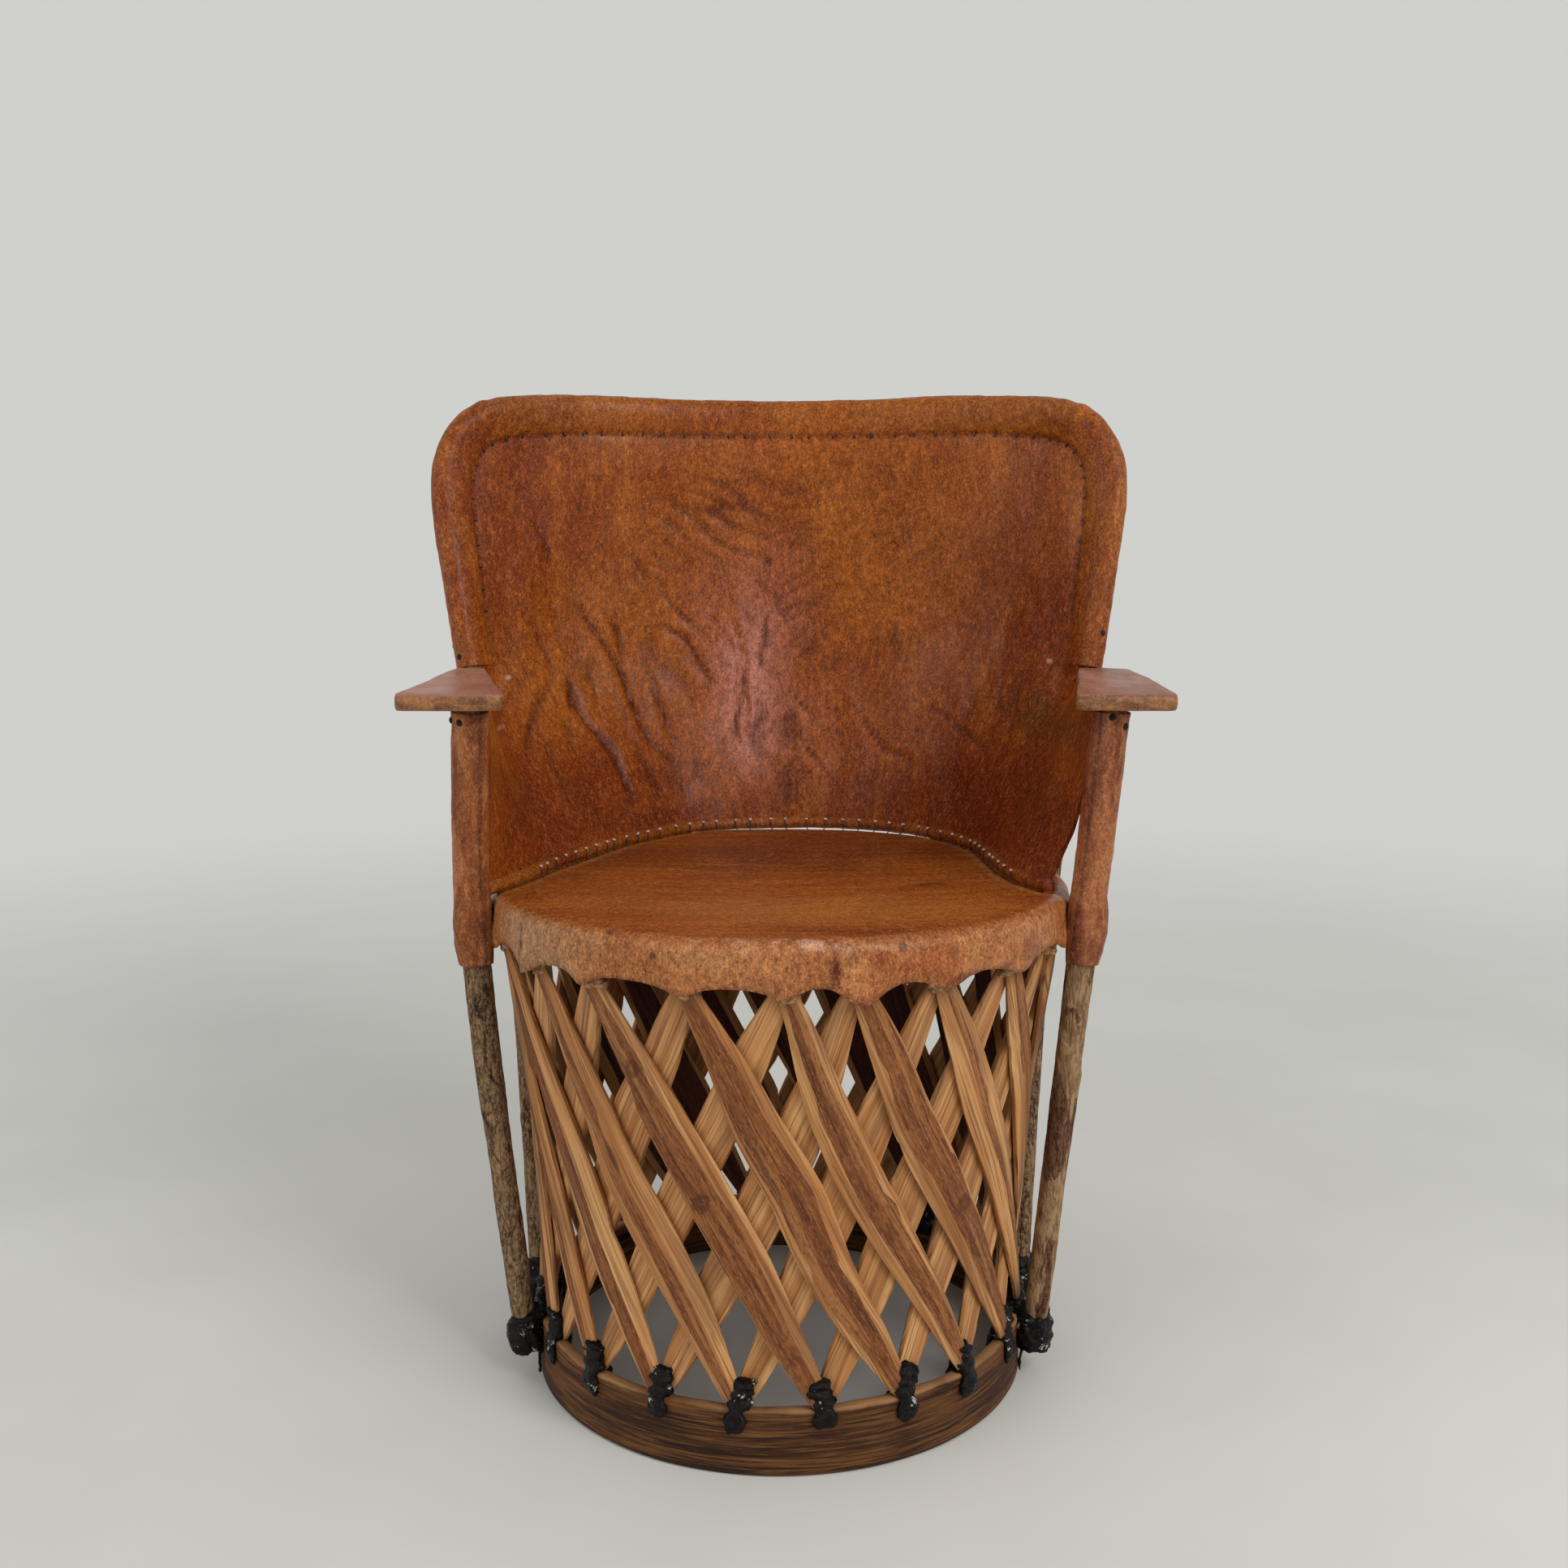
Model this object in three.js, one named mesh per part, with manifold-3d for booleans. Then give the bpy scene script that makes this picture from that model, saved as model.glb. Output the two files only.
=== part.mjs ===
// Equipale chair: a drum of crossed split-wood slats lashed between two bent hoops, a leather
// seat drawn over the upper hoop, two front posts under flat arms, and a leather back rolled
// round one bent stick whose ends run down outside the drum as the rear legs.
//
// Millimetres, +Z up, standing on z = 0. The chair faces -Y, and left and right are those of
// someone who stands in front of it. Azimuths turn about the drum's axis from the front (-Y)
// towards the right (+X). The origin is the middle of the chair's footprint on the floor.

import * as THREE from 'three';
import { mergeVertices } from 'three/addons/utils/BufferGeometryUtils.js';
import Module from 'manifold-3d';

const wasm = await Module();
wasm.setup();

const degree = Math.PI / 180;
const sides = { left: -1, right: 1 };
const upwards = new THREE.Vector3(0, 0, 1);

// Fits and cutters
const clearance = 0.3;
const overrun = 6;
const weldDistance = 1e-4;

// Leather
const leatherThickness = 3;
const sleeveThickness = 2.2;
const rollThickness = 2.5;
const armLeatherThickness = 2;

// Base hoop, which stands on the floor
const baseHoopRadius = 220;
const baseHoopThickness = 11;
const baseHoopHeight = 56;
const hoopSegments = 48;

// Seat and the hoop that carries it
const seatHeight = 440;
const seatSag = 6;
const seatHoopRadius = 248.5;
const seatHoopThickness = 11;
const seatHoopHeight = 32;
const seatRimRounding = 6;
const seatRimShoulderShare = 0.3;
const seatDishShare = 0.8;
const seatDishSagShare = 0.45;
const skirtDepth = 32;
const skirtLobeDrop = 12;
const skirtFacetsPerKnot = 4;
const widestSkirtFacetShare = 1.3;

// Lattice of slats: one outer and one inner slat leave every knot
const knotCount = 20;
const slatTurnKnots = 2.5;
const slatWidth = 41;
const slatTipWidth = 14;
const slatThickness = 8.5;
const slatTipThickness = 5.5;
const slatLayerGap = 1.2;
const slatBow = 4;
const slatStations = 6;
const slatContactWidthShare = 0.92;
const slatBarkWidthShare = 0.62;
const slatEdgeHeightShare = 0.45;
const slatSwellPower = 0.8;
const slatWidthVariationShare = 0.07;
const slatCrookShare = 0.05;

// How far each upper knot is tied from its even place, in degrees, from the front one rightwards
const upperKnotShifts = [
  0.7, -4, -5.6, -5.2, -2.6, 0, 0.9, -0.7, 0.5, -1, 0.3, 0.8, -0.6, 0.4, -0.8, 0.9, 1.2, 1.4, -0.7, 1.1,
];

// Thongs that lash the slat tips through holes near the hoops' edges
const thongThickness = 2.5;
const thongWidth = 15;
const thongSlitHeight = 6.6;
const thongHoleInset = 12;
const runnerDrawIn = 0.4;
const slatSocketClearance = 0.5;
const baseKnotHeight = 20;
const seatKnotHeight = 11;
const knotShoulderShare = 0.75;
const knotTaperShare = 0.15;

// Front posts: round barked sticks that lean out and carry the arms
const postFootAzimuth = 76 * degree;
const postSeatAzimuth = 73 * degree;
const postTopDepth = -93;
const postTopSpread = { left: 254, right: 274 };
const postFootRadius = 10;
const postSeatRadius = 12.5;
const postTopRadius = 13;
const postSeatShare = 0.67;
const poleFootHeight = 5;
const poleSides = 10;
const postSteps = 9;

// Leather sleeves of the front posts, with a lump where they are tied to the seat
const sleeveBottomDrop = 58;
const tieDrop = 28;
const tieHalfHeight = 30;
const tieSwell = 4.5;
const sleeveSteps = 11;

// Straps that tie the feet of the four poles to the base hoop
const strapHeight = 16;
const strapThickness = 3;
const strapLevel = 27;
const strapArcSegments = 6;

// Arms: flat boards in leather, nailed on the posts and notched round the rear legs
const armThickness = 13;
const armFrontHeight = 614;
const armRise = 7;
const armFrontDepth = -130;
const armBackDepth = 108;
const armWindowRadius = 21;
const armEdgeRounding = 1.5;
const armCurveSegments = 3;
const armCornerRadius = 7;
const armBackCornerRadius = 26;
// Each corner: distance out from the drum's axis, share of the arm's length from the front, radius
const armOutlines = {
  left: [
    [219, 0, armCornerRadius],
    [309, 0, armCornerRadius],
    [307, 0.7, armCornerRadius],
    [303, 1, armCornerRadius],
    [279, 1, armCornerRadius],
  ],
  right: [
    [236, 0, armCornerRadius],
    [319, 0, armCornerRadius],
    [328, 0.55, armCornerRadius],
    [326, 1, armBackCornerRadius],
    [283, 1, armCornerRadius],
  ],
};

// Back frame: one bent stick, foot to foot
const backStickRadius = 10;
const backFootAzimuth = 101 * degree;
const backSeatAzimuth = 108 * degree;
const backArmSpread = 293;
const backArmDepth = 115;
const backArmHeight = 615;
const backWidestSpread = 317.5;
const backRimHeight = 872;
const backRimDepth = 285;
const backCornerHeight = 848;
const backStickSteps = 46;
const backStickSides = 8;
// From above the arms to near the rim's middle: shares of the widest spread, of the rise from
// the arms to the rim, and of the way back from the arms to the rim
const backBendShares = [
  [0.965, 0.33, 0.07],
  [1, 0.68, 0.14],
  [0.987, 0.805, 0.18],
  [0.938, 0.907, 0.24],
  [0.855, 0.965, 0.355],
  [0.74, 0.99, 0.537],
  [0.52, 1.004, 0.785],
  [0.25, 1.001, 0.952],
];

// Back leather: a sheet from post to post below the arms, from leg to leg above them
const hemRodRadius = 4;
const hemRodSteps = 18;
const hemRodSides = 6;
const columnsPerShare = 2;
const legShare = 2;
const sheetLowerRows = 3;
const sheetUpperRows = 5;
const underArmGap = 2;
const rollStartRise = 6;
const rollEaseHeight = 26;
const rollSteps = 30;
const hemEndShare = 0.008;
// Plan of the hem from left to right, as shares of the seat leather's radius
const hemPlanShares = [
  [-0.965, -0.31],
  [-0.88, -0.1],
  [-0.81, 0.16],
  [-0.69, 0.45],
  [-0.55, 0.7],
  [-0.34, 0.94],
  [0, 1.035],
  [0.37, 0.985],
  [0.61, 0.78],
  [0.745, 0.52],
  [0.79, 0.15],
  [0.83, -0.14],
  [0.895, -0.29],
];
// Plan of the sheet's level at the arms, rear half: shares of the leg's spread and of the rim's depth
const armLevelShares = [
  [0.885, 0.585],
  [0.7, 0.79],
  [0.42, 0.94],
  [0, 0.995],
];

// Sizes that follow from those above
const knotStep = (2 * Math.PI) / knotCount;
const slatTurn = slatTurnKnots * knotStep;
const hoopFlatShare = Math.cos(Math.PI / hoopSegments);
const skirtSegments = skirtFacetsPerKnot * knotCount;
const skirtFlatShare = Math.cos((widestSkirtFacetShare * Math.PI) / skirtSegments);
const lobeHem = seatHeight - skirtDepth - skirtLobeDrop;
const seatHoopTop = seatHeight - leatherThickness - clearance;
const seatHoopBottom = seatHoopTop - seatHoopHeight;
const skirtValleyRadius = (seatHoopRadius + clearance) / skirtFlatShare + leatherThickness;
const skirtLobeRadius = (seatHoopRadius + 2 * clearance + thongThickness) / skirtFlatShare + leatherThickness;
const slatTop = seatHoopBottom - clearance;
const slatFoot = baseHoopHeight + clearance;
const postSeatDistance = skirtLobeRadius + 2 * clearance + sleeveThickness + postSeatRadius;
const rollRadius = backStickRadius + clearance + rollThickness;
const hemRadius = hemRodRadius + clearance + rollThickness;
const hemHeight = seatHeight + clearance + hemRadius;
const armLength = armBackDepth - armFrontDepth;

const baseHoop = {
  outer: baseHoopRadius,
  inner: baseHoopRadius - baseHoopThickness,
  bottom: 0,
  top: baseHoopHeight,
  lashedEdge: baseHoopHeight,
  slatSide: 1,
  knotAzimuths: evenAzimuths(knotCount, knotStep / 2),
  knotHeight: baseKnotHeight,
};
const seatHoop = {
  outer: seatHoopRadius,
  inner: seatHoopRadius - seatHoopThickness,
  bottom: seatHoopBottom,
  top: seatHoopTop,
  lashedEdge: seatHoopBottom,
  slatSide: -1,
  knotAzimuths: evenAzimuths(knotCount, 0).map((azimuth) => azimuth + latticeShift(azimuth)),
  knotHeight: seatKnotHeight,
};

// General shapes

function cylindrical(azimuth, radius, height) {
  return new THREE.Vector3(radius * Math.sin(azimuth), -radius * Math.cos(azimuth), height);
}

function mix(from, to, share) {
  return from + (to - from) * share;
}

function evenAzimuths(count, first) {
  return Array.from({ length: count }, (_, index) => first + (index * 2 * Math.PI) / count);
}

// How far the top of the lattice is turned at an azimuth, smoothly through the knots' own shifts
function latticeShift(azimuth) {
  const place = azimuth / knotStep;
  const knot = Math.floor(place);
  const shiftOf = (index) => upperKnotShifts[(index + knotCount) % knotCount] * degree;
  return mix(shiftOf(knot), shiftOf(knot + 1), THREE.MathUtils.smoothstep(place - knot, 0, 1));
}

// A steady, well spread value from -1 to 1 for each index, for what differs from slat to slat
function handmade(index) {
  const goldenShare = (Math.sqrt(5) - 1) / 2;
  return 2 * ((index * goldenShare) % 1) - 1;
}

function signedVolume(points, triangles) {
  const cross = new THREE.Vector3();
  let volume = 0;
  for (let corner = 0; corner < triangles.length; corner += 3) {
    const [a, b, c] = [0, 1, 2].map((step) => points[triangles[corner + step]]);
    volume += a.dot(cross.crossVectors(b, c));
  }
  return volume;
}

// A closed body from its corners and triangles, with its faces turned outwards
function closedGeometry(points, triangles) {
  const facing = signedVolume(points, triangles) < 0 ? [...triangles].reverse() : triangles;
  const geometry = new THREE.BufferGeometry().setFromPoints(points);
  geometry.setIndex(facing);
  return geometry;
}

// A body through rings of equally many points, closed by flat ends or onto its own first ring
function loft(rings, isLoop = false) {
  const count = rings[0].length;
  const triangles = [];
  const bands = isLoop ? rings.length : rings.length - 1;
  for (let band = 0; band < bands; band += 1) {
    const here = band * count;
    const there = ((band + 1) % rings.length) * count;
    for (let side = 0; side < count; side += 1) {
      const next = (side + 1) % count;
      triangles.push(here + side, here + next, there + next);
      triangles.push(here + side, there + next, there + side);
    }
  }
  if (!isLoop) {
    const last = (rings.length - 1) * count;
    for (let side = 1; side < count - 1; side += 1) {
      triangles.push(0, side + 1, side);
      triangles.push(last, last + side, last + side + 1);
    }
  }
  return closedGeometry(rings.flat(), triangles);
}

// A round stick of varying radius along a stretch of a curve
function stick(curve, radiusAt, steps, sideCount, from = 0, to = 1) {
  const frames = curve.computeFrenetFrames(steps, false);
  const rings = [];
  for (let step = 0; step <= steps; step += 1) {
    const share = mix(from, to, step / steps);
    const centre = curve.getPointAt(share);
    const frame = Math.round(share * steps);
    const radius = radiusAt(share);
    const ring = [];
    for (let side = 0; side < sideCount; side += 1) {
      const angle = (2 * Math.PI * side) / sideCount;
      const point = centre.clone();
      point.addScaledVector(frames.normals[frame], radius * Math.cos(angle));
      point.addScaledVector(frames.binormals[frame], radius * Math.sin(angle));
      ring.push(point);
    }
    rings.push(ring);
  }
  return loft(rings);
}

// Where along a rising curve a height is reached
function shareAtHeight(curve, height, from = 0, to = 1) {
  let low = from;
  let high = to;
  for (let round = 0; round < 40; round += 1) {
    const middle = (low + high) / 2;
    if (curve.getPointAt(middle).z < height) low = middle;
    else high = middle;
  }
  return (low + high) / 2;
}

// A ring of square section about the axis, with a corner at each azimuth
function squareRing(azimuths, outer, inner, bottom, top) {
  const profile = [
    new THREE.Vector2(outer, bottom),
    new THREE.Vector2(outer, top),
    new THREE.Vector2(inner, top),
    new THREE.Vector2(inner, bottom),
  ];
  const rings = azimuths.map((azimuth) => profile.map((point) => cylindrical(azimuth, point.x, point.y)));
  return loft(rings, true);
}

function block(width, depth, height, radius, level) {
  return new THREE.BoxGeometry(width, depth, height).translate(0, -radius, level);
}

// Solids for cutting and joining

function toSolid(geometry) {
  const bare = geometry.clone();
  bare.deleteAttribute('normal');
  bare.deleteAttribute('uv');
  const welded = mergeVertices(bare, weldDistance);
  const mesh = new wasm.Mesh({
    numProp: 3,
    vertProperties: new Float32Array(welded.attributes.position.array),
    triVerts: new Uint32Array(welded.index.array),
  });
  return new wasm.Manifold(mesh);
}

function toGeometry(solid) {
  const mesh = solid.getMesh();
  const geometry = new THREE.BufferGeometry();
  geometry.setAttribute('position', new THREE.BufferAttribute(mesh.vertProperties, 3));
  geometry.setIndex(new THREE.BufferAttribute(mesh.triVerts, 1));
  return geometry;
}

function join(geometries) {
  return geometries.map(toSolid).reduce((whole, piece) => whole.add(piece));
}

function cut(solid, cutters) {
  return cutters.map(toSolid).reduce((rest, cutter) => rest.subtract(cutter), solid);
}

// Slats

// A slat's frame at a share of its length: the lattice is a waisted surface of straight lines,
// so where an outer and an inner slat cross, their contact faces are parallel.
function slatFrame(start, end, share) {
  const along = end.clone().sub(start).normalize();
  const centre = start.clone().lerp(end, share);
  const radial = new THREE.Vector3(centre.x, centre.y, 0).normalize();
  const outward = radial.clone().multiplyScalar(-along.z);
  outward.z = along.dot(radial);
  outward.normalize();
  centre.addScaledVector(outward, slatBow * Math.sin(Math.PI * share));
  const across = new THREE.Vector3().crossVectors(along, outward);
  return { along, centre, outward, across };
}

// Across a slat from its contact face to its bark face: shares of the half width and thickness
const slatSection = [
  [-slatContactWidthShare, 0],
  [slatContactWidthShare, 0],
  [1, slatEdgeHeightShare],
  [slatBarkWidthShare, 1],
  [-slatBarkWidthShare, 1],
  [-1, slatEdgeHeightShare],
];
const slatEnvelope = [
  [-1, 0],
  [1, 0],
  [1, 1],
  [-1, 1],
];

// One slat, larger all round by the margin. Its stations turn with the lattice about the axis,
// which keeps each of them on its own side of the waisted surface.
function slatGeometry(layer, index, section = slatSection, margin = 0) {
  const start = cylindrical(0, seatHoopRadius - seatHoopThickness / 2, slatTop);
  const end = cylindrical(layer.turn, baseHoopRadius - baseHoopThickness / 2, slatFoot);
  const fullWidth = slatWidth * (1 + slatWidthVariationShare * handmade(index));
  const rings = [];
  for (let station = 0; station <= slatStations; station += 1) {
    const share = station / slatStations;
    const { along, centre, outward, across } = slatFrame(start, end, share);
    const swell = Math.sin(Math.PI * share) ** slatSwellPower;
    const crook = swell * slatWidth * slatCrookShare * handmade(index * slatStations + station);
    const width = mix(slatTipWidth, fullWidth, swell) + 2 * margin;
    const thickness = mix(slatTipThickness, slatThickness, swell) + 2 * margin;
    const nearest = slatLayerGap / 2 - margin;
    const ring = section.map(([widthShare, heightShare]) => {
      const point = centre.clone();
      point.addScaledVector(across, (widthShare * width) / 2 + crook);
      point.addScaledVector(outward, layer.side * (nearest + heightShare * thickness));
      return point;
    });
    if (station === 0 || station === slatStations) {
      const level = station === 0 ? slatTop + margin : slatFoot - margin;
      ring.forEach((point) => point.addScaledVector(along, (level - point.z) / along.z));
    }
    const azimuth = index * knotStep + Math.atan2(centre.x, -centre.y);
    const turn = index * knotStep + latticeShift(azimuth) * (1 - share);
    ring.forEach((point) => point.applyAxisAngle(upwards, turn));
    rings.push(ring);
  }
  return loft(rings);
}

const slatLayers = {
  outer: { side: 1, turn: slatTurn },
  inner: { side: -1, turn: -slatTurn },
};

// Hoops and their lashings

function atKnots(hoop, build) {
  return hoop.knotAzimuths.flatMap((azimuth) => build().map((piece) => piece.rotateZ(azimuth)));
}

function thongHoleLevel(hoop) {
  return hoop.lashedEdge - hoop.slatSide * thongHoleInset;
}

function hoopSolid(hoop) {
  const corners = evenAzimuths(hoopSegments, 0);
  const ring = toSolid(squareRing(corners, hoop.outer, hoop.inner, hoop.bottom, hoop.top));
  const middle = (hoop.outer + hoop.inner) / 2;
  const depth = hoop.outer - hoop.inner + 2 * overrun;
  const holes = atKnots(hoop, () => [
    block(thongWidth + 2 * clearance, depth, thongSlitHeight, middle, thongHoleLevel(hoop)),
  ]);
  return cut(ring, holes);
}

// One knot: a flat loop that stands over a hoop's edge, passes through the hoop's slit and
// swells into a lump round the two crossed slat tips
function knotGeometry(hoop, innerFace, outerFace) {
  const side = hoop.slatSide;
  const level = (height) => hoop.lashedEdge + side * height;
  const pinHalfHeight = thongSlitHeight / 2 - clearance;
  const slitNear = level(pinHalfHeight - thongHoleInset);
  const slitFar = level(-pinHalfHeight - thongHoleInset);
  const inner = innerFace - thongThickness;
  const outer = outerFace + thongThickness;
  const top = level(clearance + hoop.knotHeight);
  const shoulder = level(clearance + hoop.knotHeight * knotShoulderShare);
  const taper = (outer - inner) * knotTaperShare;
  const outline = [
    [inner, slitFar],
    [outer, slitFar],
    [outer, shoulder],
    [outer - taper, top],
    [inner, top],
  ];
  const opening = [
    [innerFace, slitNear],
    [innerFace, level(clearance)],
    [outerFace, level(clearance)],
    [outerFace, slitNear],
  ];
  const points = (corners) => corners.map(([x, y]) => new THREE.Vector2(x, y));
  const shape = new THREE.Shape(points(outline));
  shape.holes.push(new THREE.Path(points(opening)));
  const loop = new THREE.ExtrudeGeometry(shape, { depth: thongWidth, bevelEnabled: false });
  const [x, y, z] = [new THREE.Vector3(0, -1, 0), new THREE.Vector3(0, 0, 1), new THREE.Vector3(-1, 0, 0)];
  loop.applyMatrix4(new THREE.Matrix4().makeBasis(x, y, z));
  return loop.translate(thongWidth / 2, 0, 0);
}

// All the knots of one hoop: a single thong that runs inside, pulled straight from slit to slit
function lashingSolid(hoop) {
  const innerFace = hoop.inner * hoopFlatShare - clearance;
  const outerFace = hoop.outer + clearance;
  const level = thongHoleLevel(hoop);
  const runnerHalfHeight = thongSlitHeight / 2 - clearance - runnerDrawIn;
  const runner = squareRing(
    hoop.knotAzimuths,
    innerFace - runnerDrawIn,
    innerFace - thongThickness + runnerDrawIn,
    level - runnerHalfHeight,
    level + runnerHalfHeight,
  );
  const knots = atKnots(hoop, () => [knotGeometry(hoop, innerFace, outerFace)]);
  return cut(join([runner, ...knots]), slatCutters());
}

function slatCutters() {
  const cutters = [];
  for (const layer of Object.values(slatLayers)) {
    for (let index = 0; index < knotCount; index += 1) {
      cutters.push(slatGeometry(layer, index, slatEnvelope, slatSocketClearance));
    }
  }
  return cutters;
}

// Seat leather: a dished disc, a rounded rim and a skirt whose hem falls in a lobe at each knot
function seatLeatherGeometry() {
  const rings = [];
  for (let segment = 0; segment < skirtSegments; segment += 1) {
    const even = ((segment + 0.5) * 2 * Math.PI) / skirtSegments;
    const azimuth = even + latticeShift(even);
    const place = segment % skirtFacetsPerKnot;
    const isLobe = place === 0 || place === skirtFacetsPerKnot - 1;
    const radius = isLobe ? skirtLobeRadius : skirtValleyRadius;
    const hem = isLobe ? lobeHem : lobeHem + skirtLobeDrop;
    const rimRadius = seatHoop.inner;
    const shoulder = seatRimRounding * seatRimShoulderShare;
    const dishRadius = rimRadius * seatDishShare;
    const dishLevel = seatHeight - seatSag * seatDishSagShare;
    const outside = [
      [dishRadius, dishLevel],
      [rimRadius, seatHeight],
      [skirtValleyRadius - shoulder, seatHeight - shoulder],
      [radius, seatHeight - seatRimRounding],
      [radius, hem],
    ];
    const inside = [
      [radius - leatherThickness, hem],
      [radius - leatherThickness, seatHeight - leatherThickness],
      [rimRadius, seatHeight - leatherThickness],
      [dishRadius, dishLevel - leatherThickness],
    ];
    rings.push([...outside, ...inside].map(([r, z]) => cylindrical(azimuth, r, z)));
  }
  const count = rings[0].length;
  const points = rings.flat();
  const topCentre = points.push(new THREE.Vector3(0, 0, seatHeight - seatSag)) - 1;
  const underCentre = points.push(new THREE.Vector3(0, 0, seatHeight - seatSag - leatherThickness)) - 1;
  const triangles = [];
  for (let segment = 0; segment < skirtSegments; segment += 1) {
    const here = segment * count;
    const there = ((segment + 1) % skirtSegments) * count;
    for (let side = 0; side < count - 1; side += 1) {
      triangles.push(here + side, here + side + 1, there + side + 1);
      triangles.push(here + side, there + side + 1, there + side);
    }
    triangles.push(topCentre, here, there);
    triangles.push(underCentre, there + count - 1, here + count - 1);
  }
  return closedGeometry(points, triangles);
}

// Front posts

function armTopAt(depth) {
  return armFrontHeight + (armRise * (depth - armFrontDepth)) / armLength;
}

function postCurve(side) {
  const sign = sides[side];
  const footDistance = baseHoopRadius + clearance + postFootRadius;
  return new THREE.CatmullRomCurve3([
    cylindrical(sign * postFootAzimuth, footDistance, poleFootHeight),
    cylindrical(sign * postSeatAzimuth, postSeatDistance, seatHeight - tieDrop),
    new THREE.Vector3(sign * postTopSpread[side], postTopDepth, armTopAt(postTopDepth)),
  ]);
}

function postRadiusAt(share) {
  if (share < postSeatShare) return mix(postFootRadius, postSeatRadius, share / postSeatShare);
  return mix(postSeatRadius, postTopRadius, (share - postSeatShare) / (1 - postSeatShare));
}

function postGeometry(side, margin = 0) {
  return stick(postCurve(side), (share) => postRadiusAt(share) + margin, postSteps, poleSides);
}

// Everything above a level that lies parallel to the arms, that far below their tops
function aboveArmLevel(drop) {
  const size = 2 * seatHeight;
  return placeArm(new THREE.BoxGeometry(size, size, size).translate(0, 0, size / 2 - drop));
}

function postSolid(side) {
  const boardUnderside = armThickness - armLeatherThickness - clearance;
  return cut(toSolid(postGeometry(side)), [aboveArmLevel(boardUnderside + clearance)]);
}

// Leather sleeve of a post, swollen where it is tied and pressed flat against the seat
function sleeveGeometry(side, margin = 0) {
  const curve = postCurve(side);
  const tieLevel = seatHeight - tieDrop;
  const radiusAt = (share) => {
    const offset = (curve.getPointAt(share).z - tieLevel) / tieHalfHeight;
    const lump = tieSwell * Math.max(0, 1 - offset ** 2);
    return postRadiusAt(share) + clearance + sleeveThickness + lump + margin;
  };
  const from = shareAtHeight(curve, seatHeight - sleeveBottomDrop);
  return stick(curve, radiusAt, sleeveSteps, poleSides, from, 1);
}

function seatSpace() {
  const height = skirtDepth + skirtLobeDrop + clearance + overrun;
  const cylinder = new THREE.CylinderGeometry(
    skirtLobeRadius + clearance,
    skirtLobeRadius + clearance,
    height,
    skirtSegments,
  );
  return cylinder.rotateX(Math.PI / 2).translate(0, 0, seatHeight + clearance - height / 2);
}

function sleeveSolid(side) {
  return cut(toSolid(sleeveGeometry(side)), [
    postGeometry(side, clearance),
    seatSpace(),
    aboveArmLevel(armThickness + clearance),
  ]);
}

// Back stick

function backCurve() {
  const footDistance = baseHoopRadius + clearance + backStickRadius;
  const seatDistance = skirtLobeRadius + clearance + backStickRadius;
  const rightLeg = [
    cylindrical(backFootAzimuth, footDistance, poleFootHeight),
    cylindrical(backSeatAzimuth, seatDistance, lobeHem),
    new THREE.Vector3(backArmSpread, backArmDepth, backArmHeight),
  ];
  const bend = backBendShares.map(
    ([spreadShare, riseShare, depthShare]) =>
      new THREE.Vector3(
        spreadShare * backWidestSpread,
        mix(backArmDepth, backRimDepth, depthShare),
        mix(backArmHeight, backRimHeight, riseShare),
      ),
  );
  const right = [...rightLeg, ...bend];
  const left = right.map((point) => point.clone().setX(-point.x));
  const middle = new THREE.Vector3(0, backRimDepth, backRimHeight);
  return new THREE.CatmullRomCurve3([...left, middle, ...right.reverse()]);
}

function backStickGeometry(margin = 0) {
  return stick(backCurve(), () => backStickRadius + margin, backStickSteps, backStickSides);
}

function leftLegShare(height) {
  return shareAtHeight(backCurve(), height, 0, 0.5);
}

function legCentre(side, height) {
  const share = leftLegShare(height);
  return backCurve().getPointAt(side === 'left' ? share : 1 - share);
}

// Back leather

function rollStartHeight() {
  return armTopAt(armBackDepth) + rollStartRise;
}

// The sheet lies inside the rear leg at the arms and meets its middle where the roll begins
function legEdge(side, height) {
  const point = legCentre(side, height);
  const ease = THREE.MathUtils.smoothstep(height, rollStartHeight(), rollStartHeight() + rollEaseHeight);
  const inset = backStickRadius + clearance + leatherThickness / 2;
  return point.setX(point.x - sides[side] * inset * (1 - ease));
}

function underArm(point) {
  return point.setZ(armTopAt(point.y) - armThickness - underArmGap);
}

function postEdge(side) {
  const post = postCurve(side);
  const point = post.getPointAt(shareAtHeight(post, armFrontHeight - armThickness));
  return underArm(point.setX(point.x - sides[side] * (postTopRadius + sleeveThickness)));
}

function hemCurve() {
  const points = hemPlanShares.map(
    ([x, y]) => new THREE.Vector3(x * skirtLobeRadius, y * skirtLobeRadius, hemHeight),
  );
  return new THREE.CatmullRomCurve3(points);
}

function armLevelCurve() {
  const legs = { left: legEdge('left', sheetArmHeight()), right: legEdge('right', sheetArmHeight()) };
  const rear = armLevelShares.map(([x, y]) => [x * Math.abs(legs.left.x), y * backRimDepth]);
  const rearLeft = rear.map(([x, y]) => new THREE.Vector3(-x, y, sheetArmHeight()));
  const rearRight = rear.slice(0, -1).map(([x, y]) => new THREE.Vector3(x, y, sheetArmHeight()));
  const between = (side) => underArm(postEdge(side).lerp(legs[side], 0.5));
  return new THREE.CatmullRomCurve3([
    postEdge('left'),
    between('left'),
    legs.left,
    ...rearLeft,
    ...rearRight.reverse(),
    legs.right,
    between('right'),
    postEdge('right'),
  ]);
}

function sheetArmHeight() {
  return armTopAt(backArmDepth) - armThickness - underArmGap;
}

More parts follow.
